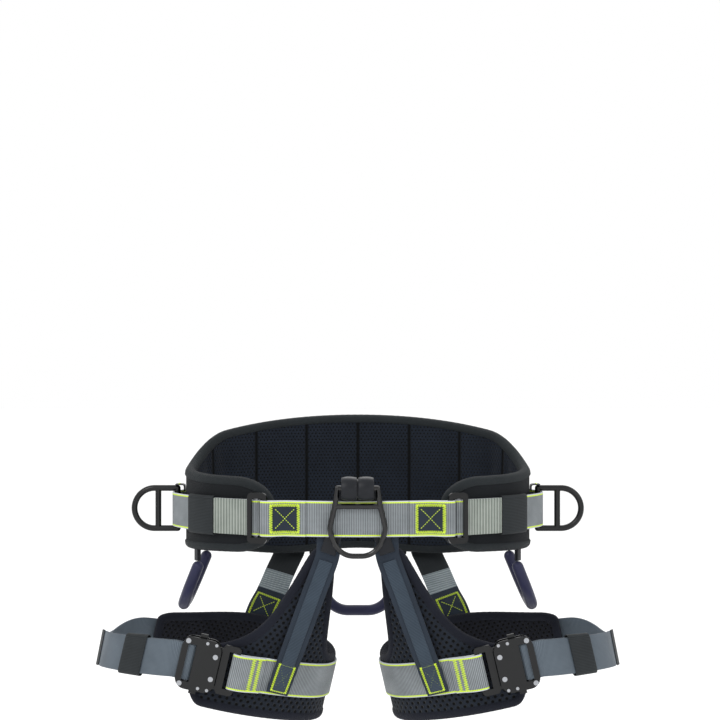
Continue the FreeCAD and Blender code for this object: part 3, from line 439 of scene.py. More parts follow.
class Route:
    """A line that a strap follows. Its width points along a side that may turn from one end to the other."""

    def __init__(self, points, side=UP, end_side=None, frame=None):
        self.points = [frame @ p for p in points] if frame else points
        turn = frame.to_3x3() if frame else Matrix.Identity(3)
        first, last = turn @ side, turn @ (end_side or side)
        count = len(points) - 1
        self.along, self.across, self.measure = [], [], [0.0]
        for i, point in enumerate(self.points):
            along = (self.points[min(i + 1, count)] - self.points[max(i - 1, 0)]).normalized()
            across = first.lerp(last, (i / count) ** LATE_TURN)
            self.along.append(along)
            self.across.append((across - along * across.dot(along)).normalized())
            if i:
                self.measure.append(self.measure[-1] + (point - self.points[i - 1]).length)
        self.length = self.measure[-1]

    def bend(self, bm):
        """Moves a flat piece's points on to the route; a piece's Z becomes the side that faces right."""
        for v in bm.verts:
            x = min(max(v.co.x, 0.0), self.length)
            k = min(max(bisect.bisect_right(self.measure, x) - 1, 0), len(self.measure) - 2)
            t = (x - self.measure[k]) / (self.measure[k + 1] - self.measure[k])
            along = self.along[k].lerp(self.along[k + 1], t).normalized()
            across = self.across[k].lerp(self.across[k + 1], t).normalized()
            face = along.cross(across).normalized()
            middle = self.points[k].lerp(self.points[k + 1], t) + along * (v.co.x - x)
            v.co = middle + across * v.co.y + face * v.co.z


def rounded_line(points, step=4.0):
    """A smooth line through a few points, as a strap under light tension takes."""
    line = []
    ends = [points[0] * 2 - points[1]] + points + [points[-1] * 2 - points[-2]]
    for a, b, c, d in zip(ends, ends[1:], ends[2:], ends[3:]):
        count = max(1, round((c - b).length / step))
        for i in range(count):
            t = i / count
            line.append(0.5 * (2 * b + (c - a) * t + (2 * a - 5 * b + 4 * c - d) * t * t
                               + (3 * b - a - 3 * c + d) * t * t * t))
    return line + [points[-1]]


def flat_strip(length, width, thick, step=2.5, across=6, level=0.0, start=0.0):
    """A flat strap with rounded edges, at a level above or below the route that it will follow."""
    bm = bmesh.new()
    bmesh.ops.create_grid(bm, x_segments=max(2, round(length / step)), y_segments=across, size=0.5)
    bmesh.ops.scale(bm, vec=(length, width, 1), verts=bm.verts)
    bmesh.ops.translate(bm, vec=(start + length / 2, 0, -thick / 2), verts=bm.verts)
    grown = bmesh.ops.extrude_face_region(bm, geom=bm.faces[:])["geom"]
    bmesh.ops.translate(bm, vec=(0, 0, thick), verts=[g for g in grown if isinstance(g, bmesh.types.BMVert)])
    bmesh.ops.recalc_face_normals(bm, faces=bm.faces)
    corners = [e for e in bm.edges if e.calc_face_angle(0) > 1]
    bmesh.ops.bevel(bm, geom=corners, offset=thick * 0.32, segments=2, profile=0.5, affect="EDGES",
                    material=-1)
    pattern = bm.loops.layers.uv.new("pattern")
    for face in bm.faces:
        for loop in face.loops:
            loop[pattern].uv = (loop.vert.co.x, loop.vert.co.y)
    for v in bm.verts:
        v.co.z += level
    return bm


def finished(name, bm, materials, body, nodes=(), sharp=50):
    """Turns a bent piece into an object in metres that rides a body and stands for its CAD nodes."""
    bmesh.ops.scale(bm, vec=(MM, MM, MM), verts=bm.verts)
    mesh = bpy.data.meshes.new(name)
    bm.to_mesh(mesh)
    bm.free()
    for material in materials:
        mesh.materials.append(material)
    mesh.shade_smooth()
    mesh.set_sharp_from_angle(angle=math.radians(sharp))
    piece = bpy.data.objects.new(name, mesh)
    bpy.context.scene.collection.objects.link(piece)
    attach(piece, body)
    if nodes:
        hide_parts(*nodes)
    return piece


def right_name(name):
    return name.replace("left_", "right_")


def both(name, bm, materials, body, nodes=(), sharp=50):
    """A left-hand piece and its mirror image."""
    image = bm.copy()
    bmesh.ops.scale(image, vec=(-1, 1, 1), verts=image.verts)
    bmesh.ops.reverse_faces(image, faces=image.faces)
    left = finished(name, bm, materials, body, nodes, sharp)
    right = finished(right_name(name), image, materials, right_name(body),
                     [right_name(n) for n in nodes], sharp)
    return left, right


def smooth(t):
    t = min(1.0, max(0.0, t))
    return t * t * (3 - 2 * t)


def steps(start, stop, step):
    count = max(1, math.ceil(abs(stop - start) / step))
    return [start + (stop - start) * i / count for i in range(count + 1)]


def turn_back(centre, radius, start, ahead):
    """Points of a half turn about a centre, from the start side, round the ahead side."""
    angles = [math.pi * i / 10 for i in range(11)]
    return [centre + (start * math.cos(a) + ahead * math.sin(a)) * radius for a in angles]


def other_way(points):
    """The same points on the other side of the body, in the opposite order."""
    return [Vector((-p.x, p.y, p.z)) for p in reversed(points)]


waist = Oval(231, 130, 95)
leg = Oval(146, 95, 70)
LEG_TILT = math.radians(13)
leg_frame = Matrix.Translation((-178, -30, -185)) @ Matrix.Rotation(LEG_TILT, 4, "Y")
print("round the waist", round(2 * waist.half), "mm, round the thigh", round(2 * leg.half), "mm")

# %% [markdown]
# Thread holds everything. A zig-zag machine lays stitches across a band, slanting one way and then the
# other, so each stitch is a small capsule laid on the flat strap and bent with it.

# %% Stitches
def stitch_bed(marks, level, thick=0.55, high=0.42):
    """Small capsules at (x, y, angle, length) marks on a flat strap."""
    bm = bmesh.new()
    for x, y, angle, length in marks:
        place = (Matrix.Translation((x, y, level)) @ Matrix.Rotation(angle, 4, "Z")
                 @ Matrix.Diagonal((length, thick * 2, high * 2, 1)))
        bmesh.ops.create_icosphere(bm, subdivisions=1, radius=0.5, matrix=place)
    bm.loops.layers.uv.new("pattern")
    return bm


def zigzag(start, end, band=5.0, pitch=1.5):
    """Marks of slanting stitches across a band that runs from start to end."""
    run = Vector(end) - Vector(start)
    way = math.atan2(run.y, run.x)
    count = max(2, round(run.length / pitch))
    marks = []
    for i in range(count + 1):
        spot = Vector(start) + run * (i / count)
        slant = 0.16 if i % 2 else -0.16
        marks.append((spot.x, spot.y, way + math.pi / 2 + slant, band))
    return marks


def box_marks(x, y, width, height, band=5.0):
    """A zig-zag rectangle and the thin cross that ties its corners."""
    w, h = width / 2, height / 2
    corners = [(x - w, y - h), (x + w, y - h), (x + w, y + h), (x - w, y + h)]
    marks = []
    for a, b in zip(corners, corners[1:] + corners[:1]):
        marks += zigzag(a, b, band)
    for a, b in ((corners[0], corners[2]), (corners[1], corners[3])):
        run = Vector(b) - Vector(a)
        count = round(run.length / 3.2)
        marks += [(*(Vector(a) + run * (i + 0.5) / count), math.atan2(run.y, run.x), 2.6)
                  for i in range(2, count - 2)]
    return marks


print("a box of stitches has", len(box_marks(0, 0, 40, 38)), "stitches")

# %% [markdown]
# The belt webbing is one strap 45 mm wide. It runs round the pad, stands over each side ring's bar, passes
# round the adjuster's loose bar and comes back as a ribbed tail under an elastic keeper. The front strap
# is folded round the adjusters' rails and sewn to itself with a box of bright zig-zag.

# %% The belt's straps
WEB, GAP, HALF_WEB = 2.4, 1.8, 22.5
LAYER_GAP = 0.4
SIDE_PLACE = waist.half / 2
ADJUSTER = waist.half - 127
BAR_OUT = GAP + WEB + 0.3
OVER_BAR = BAR_OUT + 2.2 + 0.3
HOOK = ADJUSTER + 2 + 13 - 5.5 + 0.9
FRAME_LEVEL = OVER_BAR + WEB + LAYER_GAP


def over_ring(s):
    """How far the belt stands off the pad where it passes over a side ring's bar."""
    x = (abs(s) - SIDE_PLACE) / 56
    return GAP + (15.3 - GAP) * (math.cos(math.pi * x / 2) ** 2 if abs(x) < 1 else 0)


def tail_inner(s):
    flat = over_ring(s) + WEB + LAYER_GAP
    return flat + (OVER_BAR - GAP - WEB - 0.4) * smooth((abs(s) - ADJUSTER + 22) / 10)


def loop_end(place, inner, outer, ahead):
    outwards = (waist.at(place, 1) - waist.at(place)).normalized()
    return turn_back(waist.at(place, (inner + outer) / 2), (outer - inner) / 2, outwards,
                     UP.cross(outwards) * ahead)


def near_rail(s):
    return 1 - smooth((s - HOOK - 6) / 22)


UNDER_RAIL, OVER_RAIL = FRAME_LEVEL - 0.3 - WEB, FRAME_LEVEL + 4.3


def front_level(s, lapped):
    """The front strap's level: its inner layer, or the layer lapped back over it."""
    flat, near = (0.6 + WEB + LAYER_GAP, OVER_RAIL) if lapped else (0.6, UNDER_RAIL)
    return flat + (near - flat) * near_rail(s) + WEB / 2


tail = [waist.at(s, tail_inner(s) + WEB / 2) for s in steps(ADJUSTER - 82, ADJUSTER - 2, 4)]
tail += loop_end(ADJUSTER, GAP + WEB / 2, OVER_BAR + WEB / 2, 1)
half_belt = tail + [waist.at(s, over_ring(s) + WEB / 2) for s in steps(ADJUSTER - 2, 1, 5)]
belt_route = Route(half_belt + other_way(half_belt))
bm = flat_strip(belt_route.length, 45, WEB, step=2.5)
for face in bm.faces:
    x = face.calc_center_median().x
    face.material_index = 1 if min(x, belt_route.length - x) < 78 else 0
belt_route.bend(bm)
finished("waist_belt", bm, [belt_webbing, tail_webbing], "root", ["waist_webbing"])

lap = [waist.at(s, front_level(s, True)) for s in steps(HOOK + 52, HOOK + 2, 3)]
lap += loop_end(HOOK, front_level(HOOK, False), front_level(HOOK, True), -1)
half_front = lap + [waist.at(s, front_level(s, False)) for s in steps(HOOK + 2, waist.half - 1, 5)]
front_route = Route(half_front + other_way(half_front))
bm = flat_strip(front_route.length, 45, WEB, step=2)
front_route.bend(bm)
finished("front_strap", bm, [belt_webbing], "root", ["front_webbing"])
print("belt strap", round(belt_route.length), "mm, front strap", round(front_route.length), "mm")


def facing(route, x, outwards):
    """1 if a route's face at x points along outwards, or else -1."""
    k = min(bisect.bisect_left(route.measure, x), len(route.points) - 1)
    return 1 if route.along[k].cross(route.across[k]).dot(outwards) > 0 else -1


for sign, hand in ((1, "left"), (-1, "right")):
    middle = 27 if sign > 0 else front_route.length - 27
    way = facing(front_route, middle, Vector((0, -1, 0)))
    patch = flat_strip(36, 34, 0.7, step=3, level=way * (WEB / 2 + 0.3), start=middle - 18)
    front_route.bend(patch)
    finished(f"{hand}_box_patch", patch, [riser_webbing], "root")
    thread = stitch_bed(box_marks(middle, 0, 36, 34), way * (WEB / 2 + 0.75))
    front_route.bend(thread)
    finished(f"{hand}_box_stitches", thread, [neon_thread], "root")

# %% [markdown]
# A keeper is a short tube of woven elastic that holds a strap's tail against the strap. It is cut as a
# band, closed on itself, and grips a little, so its edges curl in. The belt and the leg straps have one
# on each side.

# %% Keepers
def keeper_band(oval, start, stop, inner, outer, half_height, wall=1.0, frame=None,
                hang=lambda s: 0.0):
    """A closed band of elastic round a strap: X goes round it and Y along the strap."""
    middle = (start + stop) / 2
    low, high = inner(middle), outer(middle)
    deep = (high - low) / 2 + wall
    around = 4 * half_height + 2 * math.pi * deep
    bm = flat_strip(around, stop - start, wall, step=around / 90, across=8)
    for v in bm.verts:
        x, y, z = v.co
        place = middle + y
        centre, half = (inner(place) + outer(place)) / 2, (outer(place) - inner(place)) / 2 + wall / 2
        ease = 0.35 * (2 * y / (stop - start)) ** 2 - 0.12 * math.cos(y * 1.1)
        quarter = math.pi * deep
        if x < 2 * half_height:
            out, height = half + z + ease, half_height - x
        elif x < 2 * half_height + quarter:
            angle = (x - 2 * half_height) / deep
            out, height = (half + z) * math.cos(angle), -half_height - (half + z) * math.sin(angle)
        elif x < 4 * half_height + quarter:
            out, height = -half - z, x - 3 * half_height - quarter
        else:
            angle = (x - 4 * half_height - quarter) / deep
            out, height = -(half + z) * math.cos(angle), half_height + (half + z) * math.sin(angle)
        point = oval.at(place, centre + out, height - hang(place))
        v.co = frame @ point if frame else point
    bmesh.ops.remove_doubles(bm, verts=bm.verts, dist=0.02)
    bmesh.ops.recalc_face_normals(bm, faces=bm.faces)
    return bm


KEEPER_REACH, BELT_KEEPER = 58, 44
keeper_from = SIDE_PLACE + KEEPER_REACH
bm = keeper_band(waist, keeper_from, keeper_from + BELT_KEEPER, lambda s: over_ring(s) - 0.3,
                 lambda s: tail_inner(s) + WEB + LAYER_GAP, HALF_WEB - 1.2)
both("left_keeper_band", bm, [keeper_elastic], "root", ["left_belt_keeper"])
print("belt keepers made")

# %% [markdown]
# Each leg loop's webbing starts on the outside of the thigh pad, crosses its front, and is folded round
# the tang of the buckle and sewn. The plain strap on the buckle's other side goes round the loose bar
# inside it and ends in a folded stop that can't pull through.

# %% Leg straps
LEG_UNDER, LEG_FRONT = 1.0, leg.half
BASE_OUT, PLATE, BUCKLE_GAP, TANG = 2.6, 2.0, 9.0, 3.0
TANG_MIDDLE = BASE_OUT + PLATE + BUCKLE_GAP / 2
TANG_END = 24 - 21 + 25
TURN_X, TURN_R = TANG_END - 6 + 1, TANG / 2 + 0.7 + WEB / 2
BUCKLE_SIDE, STRAP_REACH, RISE_FROM, RISE_OVER = 49, 192, 204, 60
WEBBING_SETTLE, STRAP_SETTLE = 34, 110


def settling(x, flat_out, out, settle):
    """Where a strap leaves the buckle's plane at x, and how far from the thigh it stands beyond there."""
    start = leg.long * math.atan2(abs(x), leg.long + flat_out)
    start_out = math.hypot(x, leg.long + flat_out) - leg.long
    return start, lambda t: out + (start_out - out) * (1 - smooth((t - start) / settle))


def sag(t):
    """The adjusting strap hangs level from the tilted buckle, and rises again to where it is sewn."""
    fall = max(0.0, min(t, STRAP_REACH) - BUCKLE_SIDE) * math.tan(LEG_TILT)
    return fall * (1 - 0.5 * smooth((t - RISE_FROM) / RISE_OVER))


def beyond(x, flat_out, stop, out, settle, hang=0.0):
    """A strap that leaves the buckle flat at x and settles on the thigh as far as the place stop."""
    sign = 1 if x > 0 else -1
    start, level = settling(x, flat_out, out, settle)
    return [leg.at(-(LEG_FRONT - sign * t), level(t), -hang * sag(t)) for t in steps(start + 3, stop, 4)]


def flat_run(start, stop, flat_out):
    return [Vector((x, -95 - flat_out, 0)) for x in steps(start, stop, 3)]


outer_layer = flat_run(TURN_X + 2, TANG_END + 2, TANG_MIDDLE + TURN_R)
outer_layer += beyond(TANG_END + 2, TANG_MIDDLE + TURN_R, TURN_X + 36, LEG_UNDER + WEB * 1.5 + LAYER_GAP,
                      WEBBING_SETTLE)
leg_points = list(reversed(outer_layer))
leg_points += turn_back(Vector((TURN_X, -95 - TANG_MIDDLE, 0)), TURN_R, Vector((0, -1, 0)), -SIDEWAYS)
leg_points += flat_run(TURN_X + 2, TANG_END + 2, TANG_MIDDLE - TURN_R)
leg_points += beyond(TANG_END + 2, TANG_MIDDLE - TURN_R, LEG_FRONT + 58, LEG_UNDER + WEB / 2,
                     WEBBING_SETTLE)
leg_route = Route(leg_points, frame=leg_frame)
bm = flat_strip(leg_route.length, 45, WEB, step=2.5)
leg_route.bend(bm)
both("left_leg_strap_sewn", bm, [belt_webbing], "left_leg", ["left_leg_webbing"])
way = facing(leg_route, 20, Vector((0, -1, 0)))
marks = zigzag((8, -19), (8, 19), 7, 1.4) + zigzag((17, -19), (17, 19), 7, 1.4)
thread = stitch_bed(marks, way * (WEB / 2 + 0.2))
leg_route.bend(thread)
both("left_bartack", thread, [neon_thread], "left_leg")

BAR_TURN_R = 1 + 0.6 + WEB / 2
BAR_TURN_X = -25 + 13 + 2.3 - 1.2 - 21
STRAP_STAND = LEG_UNDER + WEB + LAYER_GAP


def strap_layer(flat_out, reach, out):
    flat = flat_run(BAR_TURN_X - 2, -BUCKLE_SIDE, flat_out)
    return flat + beyond(-BUCKLE_SIDE, flat_out, reach, out, STRAP_SETTLE, hang=1.0)


inner_strap = strap_layer(TANG_MIDDLE - BAR_TURN_R, LEG_FRONT - 78, STRAP_STAND + WEB / 2)
outer_strap = strap_layer(TANG_MIDDLE + BAR_TURN_R, STRAP_REACH, STRAP_STAND + WEB * 1.5 + LAYER_GAP)
flag_way = (outer_strap[-1] - outer_strap[-2]).normalized() + Vector((-0.3, 0, 0))
flag = [outer_strap[-1] + flag_way * t for t in (6, 12, 19, 26)]
strap_points = list(reversed(inner_strap)) + turn_back(
    Vector((BAR_TURN_X, -95 - TANG_MIDDLE, 0)), BAR_TURN_R, Vector((0, 1, 0)), SIDEWAYS)
strap_points += outer_strap + flag
strap_route = Route(strap_points, frame=leg_frame)
bm = flat_strip(strap_route.length, 45, WEB, step=2.5)
strap_route.bend(bm)
both("left_adjusting_strap", bm, [strap_webbing], "left_closure", ["left_leg_strap"])

inner_level = settling(-BUCKLE_SIDE, TANG_MIDDLE - BAR_TURN_R, STRAP_STAND + WEB / 2, STRAP_SETTLE)[1]
outer_level = settling(-BUCKLE_SIDE, TANG_MIDDLE + BAR_TURN_R, STRAP_STAND + WEB * 1.5 + LAYER_GAP,
                       STRAP_SETTLE)[1]
LEG_KEEPER_START, LEG_KEEPER = 88, 34
stop_keeper = LEG_FRONT - LEG_KEEPER_START - LEG_KEEPER
bm = keeper_band(leg, stop_keeper, stop_keeper + LEG_KEEPER,
                 lambda s: inner_level(LEG_FRONT - s) - WEB / 2 - 0.3,
                 lambda s: outer_level(LEG_FRONT - s) + WEB / 2 + 0.7, HALF_WEB - 0.6, frame=leg_frame,
                 hang=lambda s: sag(LEG_FRONT - s))
both("left_leg_keeper_band", bm, [keeper_elastic], "left_closure", ["left_leg_keeper"])
end_at = strap_route.length
STOP_FOLD = 17
bm = flat_strip(STOP_FOLD, 47, 1.0, step=2, level=facing(strap_route, end_at, SIDEWAYS * -1) * 1.9,
                start=end_at - STOP_FOLD)
strap_route.bend(bm)
both("left_folded_end", bm, [keeper_elastic], "left_closure")
print("leg webbing", round(leg_route.length), "mm, adjusting strap", round(strap_route.length), "mm")

# %% [markdown]
# The ventral ring hangs in a roll: a strap from each leg loop goes round the ring's top bar, side by side,
# which makes the two humps with a seam between them. From there each strap drops behind the belt and
# joins the riser of its thigh pad.

# %% Roll, tie loops and front risers
RING_Y, RING_Z, ROLL_R = -137.3, 39.0, 11.4 + 0.4 + 1.2
ROLL_WIDTH = 19.6
TIE_Y = RING_Y + ROLL_R
tie_middle = -10.5
roll = [Vector((tie_middle, RING_Y + (ROLL_R - 0.9 * (1 - t)) * math.cos(2 * math.pi * t),
                RING_Z + (ROLL_R - 0.9 * (1 - t)) * math.sin(2 * math.pi * t)))
        for t in [i / 40 for i in range(41)]]
tie_foot = Vector((tie_middle - 27, TIE_Y, -44))
tie_points = roll + [roll[-1].lerp(tie_foot, t) for t in (0.08, 0.25, 0.5, 0.75, 1)]
tie_route = Route(tie_points, SIDEWAYS)
bm = flat_strip(tie_route.length, ROLL_WIDTH, 2.0, step=1.5, across=8)
for v in bm.verts:
    swell = max(0.0, 1 - (2 * v.co.y / ROLL_WIDTH) ** 2) * smooth((95 - v.co.x) / 20)
    v.co.z += 1.5 * swell * facing(tie_route, 10, UP)
tie_route.bend(bm)
both("left_roll_strap", bm, [roll_cloth], "root", ["left_tie_loop"])

foot_place = -(LEG_FRONT - 82)
foot = leg_frame @ leg.at(foot_place, LEG_UNDER + WEB + LAYER_GAP + 1.2 + 1.6, -HALF_WEB + 3)
head = Vector((tie_foot.x + 3, TIE_Y + 2.8, -8))
knee = Vector((head.x - 4, head.y, -50))
riser_points = [head, head.lerp(knee, 0.5), knee] + [knee.lerp(foot, t) for t in (0.25, 0.5, 0.75, 1)]
foot_across = leg_frame.to_3x3() @ (leg.at(foot_place + 1) - leg.at(foot_place))
riser_route = Route(rounded_line(riser_points, 3), SIDEWAYS, foot_across)
bm = flat_strip(riser_route.length, 30, 2.0, step=2.5)
riser_route.bend(bm)
both("left_riser", bm, [riser_webbing], "left_leg", ["left_leg_riser"])
way = facing(riser_route, riser_route.length - 10, Vector((0, -1, 0)))
bm = flat_strip(riser_route.length - 50, 17, 1.2, step=2.5, level=way * 1.5, start=46)
riser_route.bend(bm)
both("left_riser_tape", bm, [tape_webbing], "left_leg")
marks = box_marks(riser_route.length - 21, 0, 34, 20, 4)
thread = stitch_bed(marks, way * 1.75)
riser_route.bend(thread)
both("left_riser_stitches", thread, [neon_thread], "left_leg")
print("roll strap", round(tie_route.length), "mm, riser", round(riser_route.length), "mm")

# %% [markdown]
# Behind, a short strap is sewn to the pad on each side and a second one runs from its steel adjuster down
# to the thigh pad. Small cloth tabs hold the side rings and the gear loops.

# %% Rear straps and tabs
anchor_route = Route([Vector((-95, 125.2, -z)) for z in (26, 33, 40, 47, 54, 60, 66)], SIDEWAYS)
bm = flat_strip(anchor_route.length, 45, WEB)
anchor_route.bend(bm)
both("left_rear_tab", bm, [keeper_elastic], "root", ["left_rear_anchor"])

rear_out = LEG_UNDER + WEB + LAYER_GAP + WEB / 2 + 1.8
rear_points = [Vector((-95, 128, -40)), Vector((-96, 128, -68)), Vector((-100, 125.5, -80)),
               Vector((-111, 106, -103)), Vector((-121, 86, -126)), leg_frame @ leg.at(-34, rear_out, 40),
               leg_frame @ leg.at(-30, rear_out, -18)]
rear_route = Route(rounded_line(rear_points, 3), SIDEWAYS)
PLAIN_END, RIBBED_END, BOX_MIDDLE, BOX = 72, 104, 131, 32
bm = flat_strip(rear_route.length, 42, WEB, step=2.5)
for face in bm.faces:
    x = face.calc_center_median().x
    face.material_index = 0 if x < PLAIN_END else 1 if x < RIBBED_END else 2
rear_route.bend(bm)
both("left_rear_strap", bm, [keeper_elastic, rear_webbing, riser_webbing], "left_leg",
     ["left_rear_riser"])
way = facing(rear_route, BOX_MIDDLE, Vector((0, -1, 0)))
thread = stitch_bed(box_marks(BOX_MIDDLE, 0, BOX, BOX, 4), way * (WEB / 2 + 0.2))
rear_route.bend(thread)
both("left_rear_stitches", thread, [neon_thread], "left_leg")

low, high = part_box("left_ring_tab")
tab_route = Route([Vector((high.x / MM - 1.0, 0, low.z / MM)),
                   Vector((high.x / MM - 1.0, 0, high.z / MM - 4)),
                   Vector((high.x / MM - 1.6, 0, high.z / MM - 1.6)),
                   Vector((high.x / MM - 4, 0, high.z / MM - 0.8)),
                   Vector((low.x / MM, 0, high.z / MM - 0.8))], Vector((0, 1, 0)))
bm = flat_strip(tab_route.length, 14, 1.5, step=1)
tab_route.bend(bm)
both("left_tab_strap", bm, [roll_cloth], "root", ["left_ring_tab"])
marks = zigzag((tab_route.length - 5, -5), (tab_route.length - 5, 5), 3, 1.1)
thread = stitch_bed(marks, facing(tab_route, tab_route.length, UP) * 0.85)
tab_route.bend(thread)
both("left_tab_stitches", thread, [neon_thread], "root")
print("ring tab", round(tab_route.length), "mm")

# %% [markdown]
# The waist pad is a foam core between a twill cover and a spacer-mesh lining. Its outline is drawn on the
# flat and bent round the waist. Cloth pressure then swells it, as stuffing does, and holds it thin where
# the belt presses on it, along the sewn channels of the lining and under the edge tape.

# %% Pads
def through(stations):
    """A smooth function through (place, value) stations."""
    def value(x):
        x = max(stations[0][0], min(stations[-1][0], x))
        k = max(i for i in range(len(stations) - 1) if stations[i][0] <= x)
        (x0, y0), (x1, y1) = stations[k], stations[k + 1]
        before, after = stations[max(k - 1, 0)], stations[min(k + 2, len(stations) - 1)]
        m0, m1 = (y1 - before[1]) / (x1 - before[0]), (after[1] - y0) / (after[0] - x0)
        t, step = (x - x0) / (x1 - x0), x1 - x0
        return ((2 * t**3 - 3 * t**2 + 1) * y0 + (t**3 - 2 * t**2 + t) * step * m0
                + (3 * t**2 - 2 * t**3) * y1 + (t**3 - t**2) * step * m1)
    return value


def rounded_edge(edge, start, stop, length, stub):
    """A pad's edge line that closes to a stub of a half height at both ends."""
    def value(s):
        x = max((s - (stop - length)) / length, ((start + length) - s) / length)
        h = math.sqrt(max(0.0, 1 - min(x, 1) ** 2)) if x > 0 else 1.0
        full = edge(s)
        keep = math.copysign(stub, full)
        return keep + (full - keep) * h
    return value


EDGE = 11
CORNER = waist.back + 8
waist_reach = waist.half - 108
waist_high = through([(-CORNER, 101), (0, 121), (CORNER, 101), (SIDE_PLACE, 58), (waist.half, 50)])
waist_low = through([(-CORNER * 0.6, -75), (0, -70), (CORNER * 0.6, -75), (SIDE_PLACE, -52),
                     (waist.half, -44)])
waist_top = rounded_edge(lambda s: waist_high(abs(s)), -waist_reach, waist_reach, 56, 13)
waist_bottom = rounded_edge(lambda s: waist_low(abs(s)), -waist_reach, waist_reach, 56, 13)

leg_start, leg_stop = -(leg.half + 33), 108
thigh_turn = ((-40, 20), (-18, 22), (28, 44), (54, 74), (72, 116), (88, 160), (96, 172), (122, 174),
              (134, 124), (146, 52), (165, 33))
leg_high = through([(turn - LEG_FRONT, height) for turn, height in thigh_turn] + [
    (-LEG_FRONT / 2 + 40, 37), (-40, 41), (68, 22), (113, 16)])
leg_top = rounded_edge(leg_high, leg_start, leg_stop, 24, 9)
leg_bottom = rounded_edge(lambda s: -55, leg_start, leg_stop, 24, 9)
EAR_Y, EAR_FOOT, EAR_PEAK = TIE_Y + 2.4 + 1.2 + 0.8 + 30, HALF_WEB + 3, 172


def on_waist(place, height, out):
    return waist.at(place, out, height)


def on_thigh(place, height, out):
    """A point of the thigh pad; the ear above the strap lies back flat, behind the belt."""
    point = leg.at(place, out, height)
    if point.y <= 0 and height > EAR_FOOT:
        k = min(1.0, (height - EAR_FOOT) / (EAR_PEAK - EAR_FOOT))
        point.y = point.y * (1 - k) + (EAR_Y - out) * k
    return leg_frame @ point


def pad_slab(wrap, reach, edges, trim, outer, inner, step, held):
    """A pad's slab of small squares, bent by wrap. held(place, height, outside) says what stays put."""
    (start, stop), (low, high) = reach, edges
    length = stop - start - 2 * trim
    rows = max(4, round(max(high(s) - low(s) for s in steps(start, stop, 20)) / step))
    bm = bmesh.new()
    bmesh.ops.create_grid(bm, x_segments=round(length / step), y_segments=rows, size=0.5)
    grown = bmesh.ops.extrude_face_region(bm, geom=bm.faces[:])["geom"]
    bmesh.ops.translate(bm, vec=(0, 0, 1), verts=[g for g in grown if isinstance(g, bmesh.types.BMVert)])
    walls = [f for f in bm.faces if abs(f.normal.z) < 0.5]
    cuts = [e for e in {e for f in walls for e in f.edges} if abs(e.verts[0].co.z - e.verts[1].co.z) > 0.5]
    bmesh.ops.subdivide_edges(bm, edges=cuts, cuts=1, use_grid_fill=True)
    pattern = bm.loops.layers.uv.new("pattern")
    pins = bm.verts.layers.deform.new()
    bm.verts.ensure_lookup_table()
    flat = {}
    for v in bm.verts:
        place = start + trim + (v.co.x + 0.5) * length
        bottom, top = low(place) + trim, high(place) - trim
        height = bottom + (v.co.y + 0.5) * (top - bottom)
        flat[v] = (place, height)
        rim = abs(v.co.y) > 0.499 or abs(v.co.x) > 0.499
        v[pins][0] = 1.0 if rim or held(place, height, v.co.z > 0.9) else 0.0
        v.co = wrap(place, height, inner + (outer - inner) * v.co.z)
    for face in bm.faces:
        for loop in face.loops:
            loop[pattern].uv = flat[loop.vert]
    bmesh.ops.recalc_face_normals(bm, faces=bm.faces)
    return bm


def swell(piece, cap_out, cap_in, outwards, pressure=4.0):
    """Cloth pressure swells a pad; no point moves further than its cap, and the result is kept."""
    rest = [v.co.copy() for v in piece.data.vertices]
    piece.vertex_groups.new(name="held")
    cloth = piece.modifiers.new("cloth", "CLOTH")
    cloth.settings.vertex_group_mass = "held"
    cloth.settings.use_pressure = True
    cloth.settings.uniform_pressure_force = pressure
    cloth.settings.effector_weights.gravity = 0
    cloth.settings.quality = 5
    cloth.settings.tension_stiffness = 25
    cloth.settings.bending_stiffness = 2
    for frame_number in range(1, 21):
        bpy.context.scene.frame_set(frame_number)
    shape = piece.evaluated_get(bpy.context.evaluated_depsgraph_get())
    swollen = [v.co.copy() for v in shape.data.vertices]
    piece.modifiers.remove(cloth)
    bpy.context.scene.frame_set(1)
    for v, start, end in zip(piece.data.vertices, rest, swollen):
        move = end - start
        cap = (cap_out if move.dot(outwards(start)) > 0 else cap_in) * MM
        v.co = start + move * min(1.0, cap / max(move.length, 1e-9))
    piece.vertex_groups.clear()
    finer = piece.modifiers.new("finer", "SUBSURF")
    finer.levels = finer.render_levels = 1
    return piece


def from_middle(middle):
    """Outwards from a standing line through middle."""
    def way(point):
        flat = point - middle
        return Vector((flat.x, flat.y, 0)).normalized()
    return way


CHANNELS = (-152, -76, 0, 76, 152)


def waist_held(place, height, outside):
    if outside:
        return abs(height) < HALF_WEB + 3 or (abs(place) < 130 and -75 < height < -20)
    return any(abs(place - c) < 3.5 for c in CHANNELS)


bm = pad_slab(on_waist, (-waist_reach, waist_reach), (waist_bottom, waist_top), EDGE - 3, -0.9, -13, 5,
              waist_held)
for face in bm.faces:
    middle = face.calc_center_median()
    face.material_index = 1 if face.normal.dot(Vector((middle.x, middle.y, 0))) < 0 else 0
waist_pad = finished("waist_pad", bm, [cover_twill, lining_mesh], "root",
                     ["waist_pad_cover", "waist_pad_foam", "waist_pad_lining"], sharp=70)
swell(waist_pad, 4, 6, from_middle(Vector((0, 0, 0))))
print("waist pad:", len(waist_pad.data.vertices), "points")


def leg_held(place, height, outside):
    return abs(height) < HALF_WEB + 4 if outside else abs(place + LEG_FRONT / 2) < 3


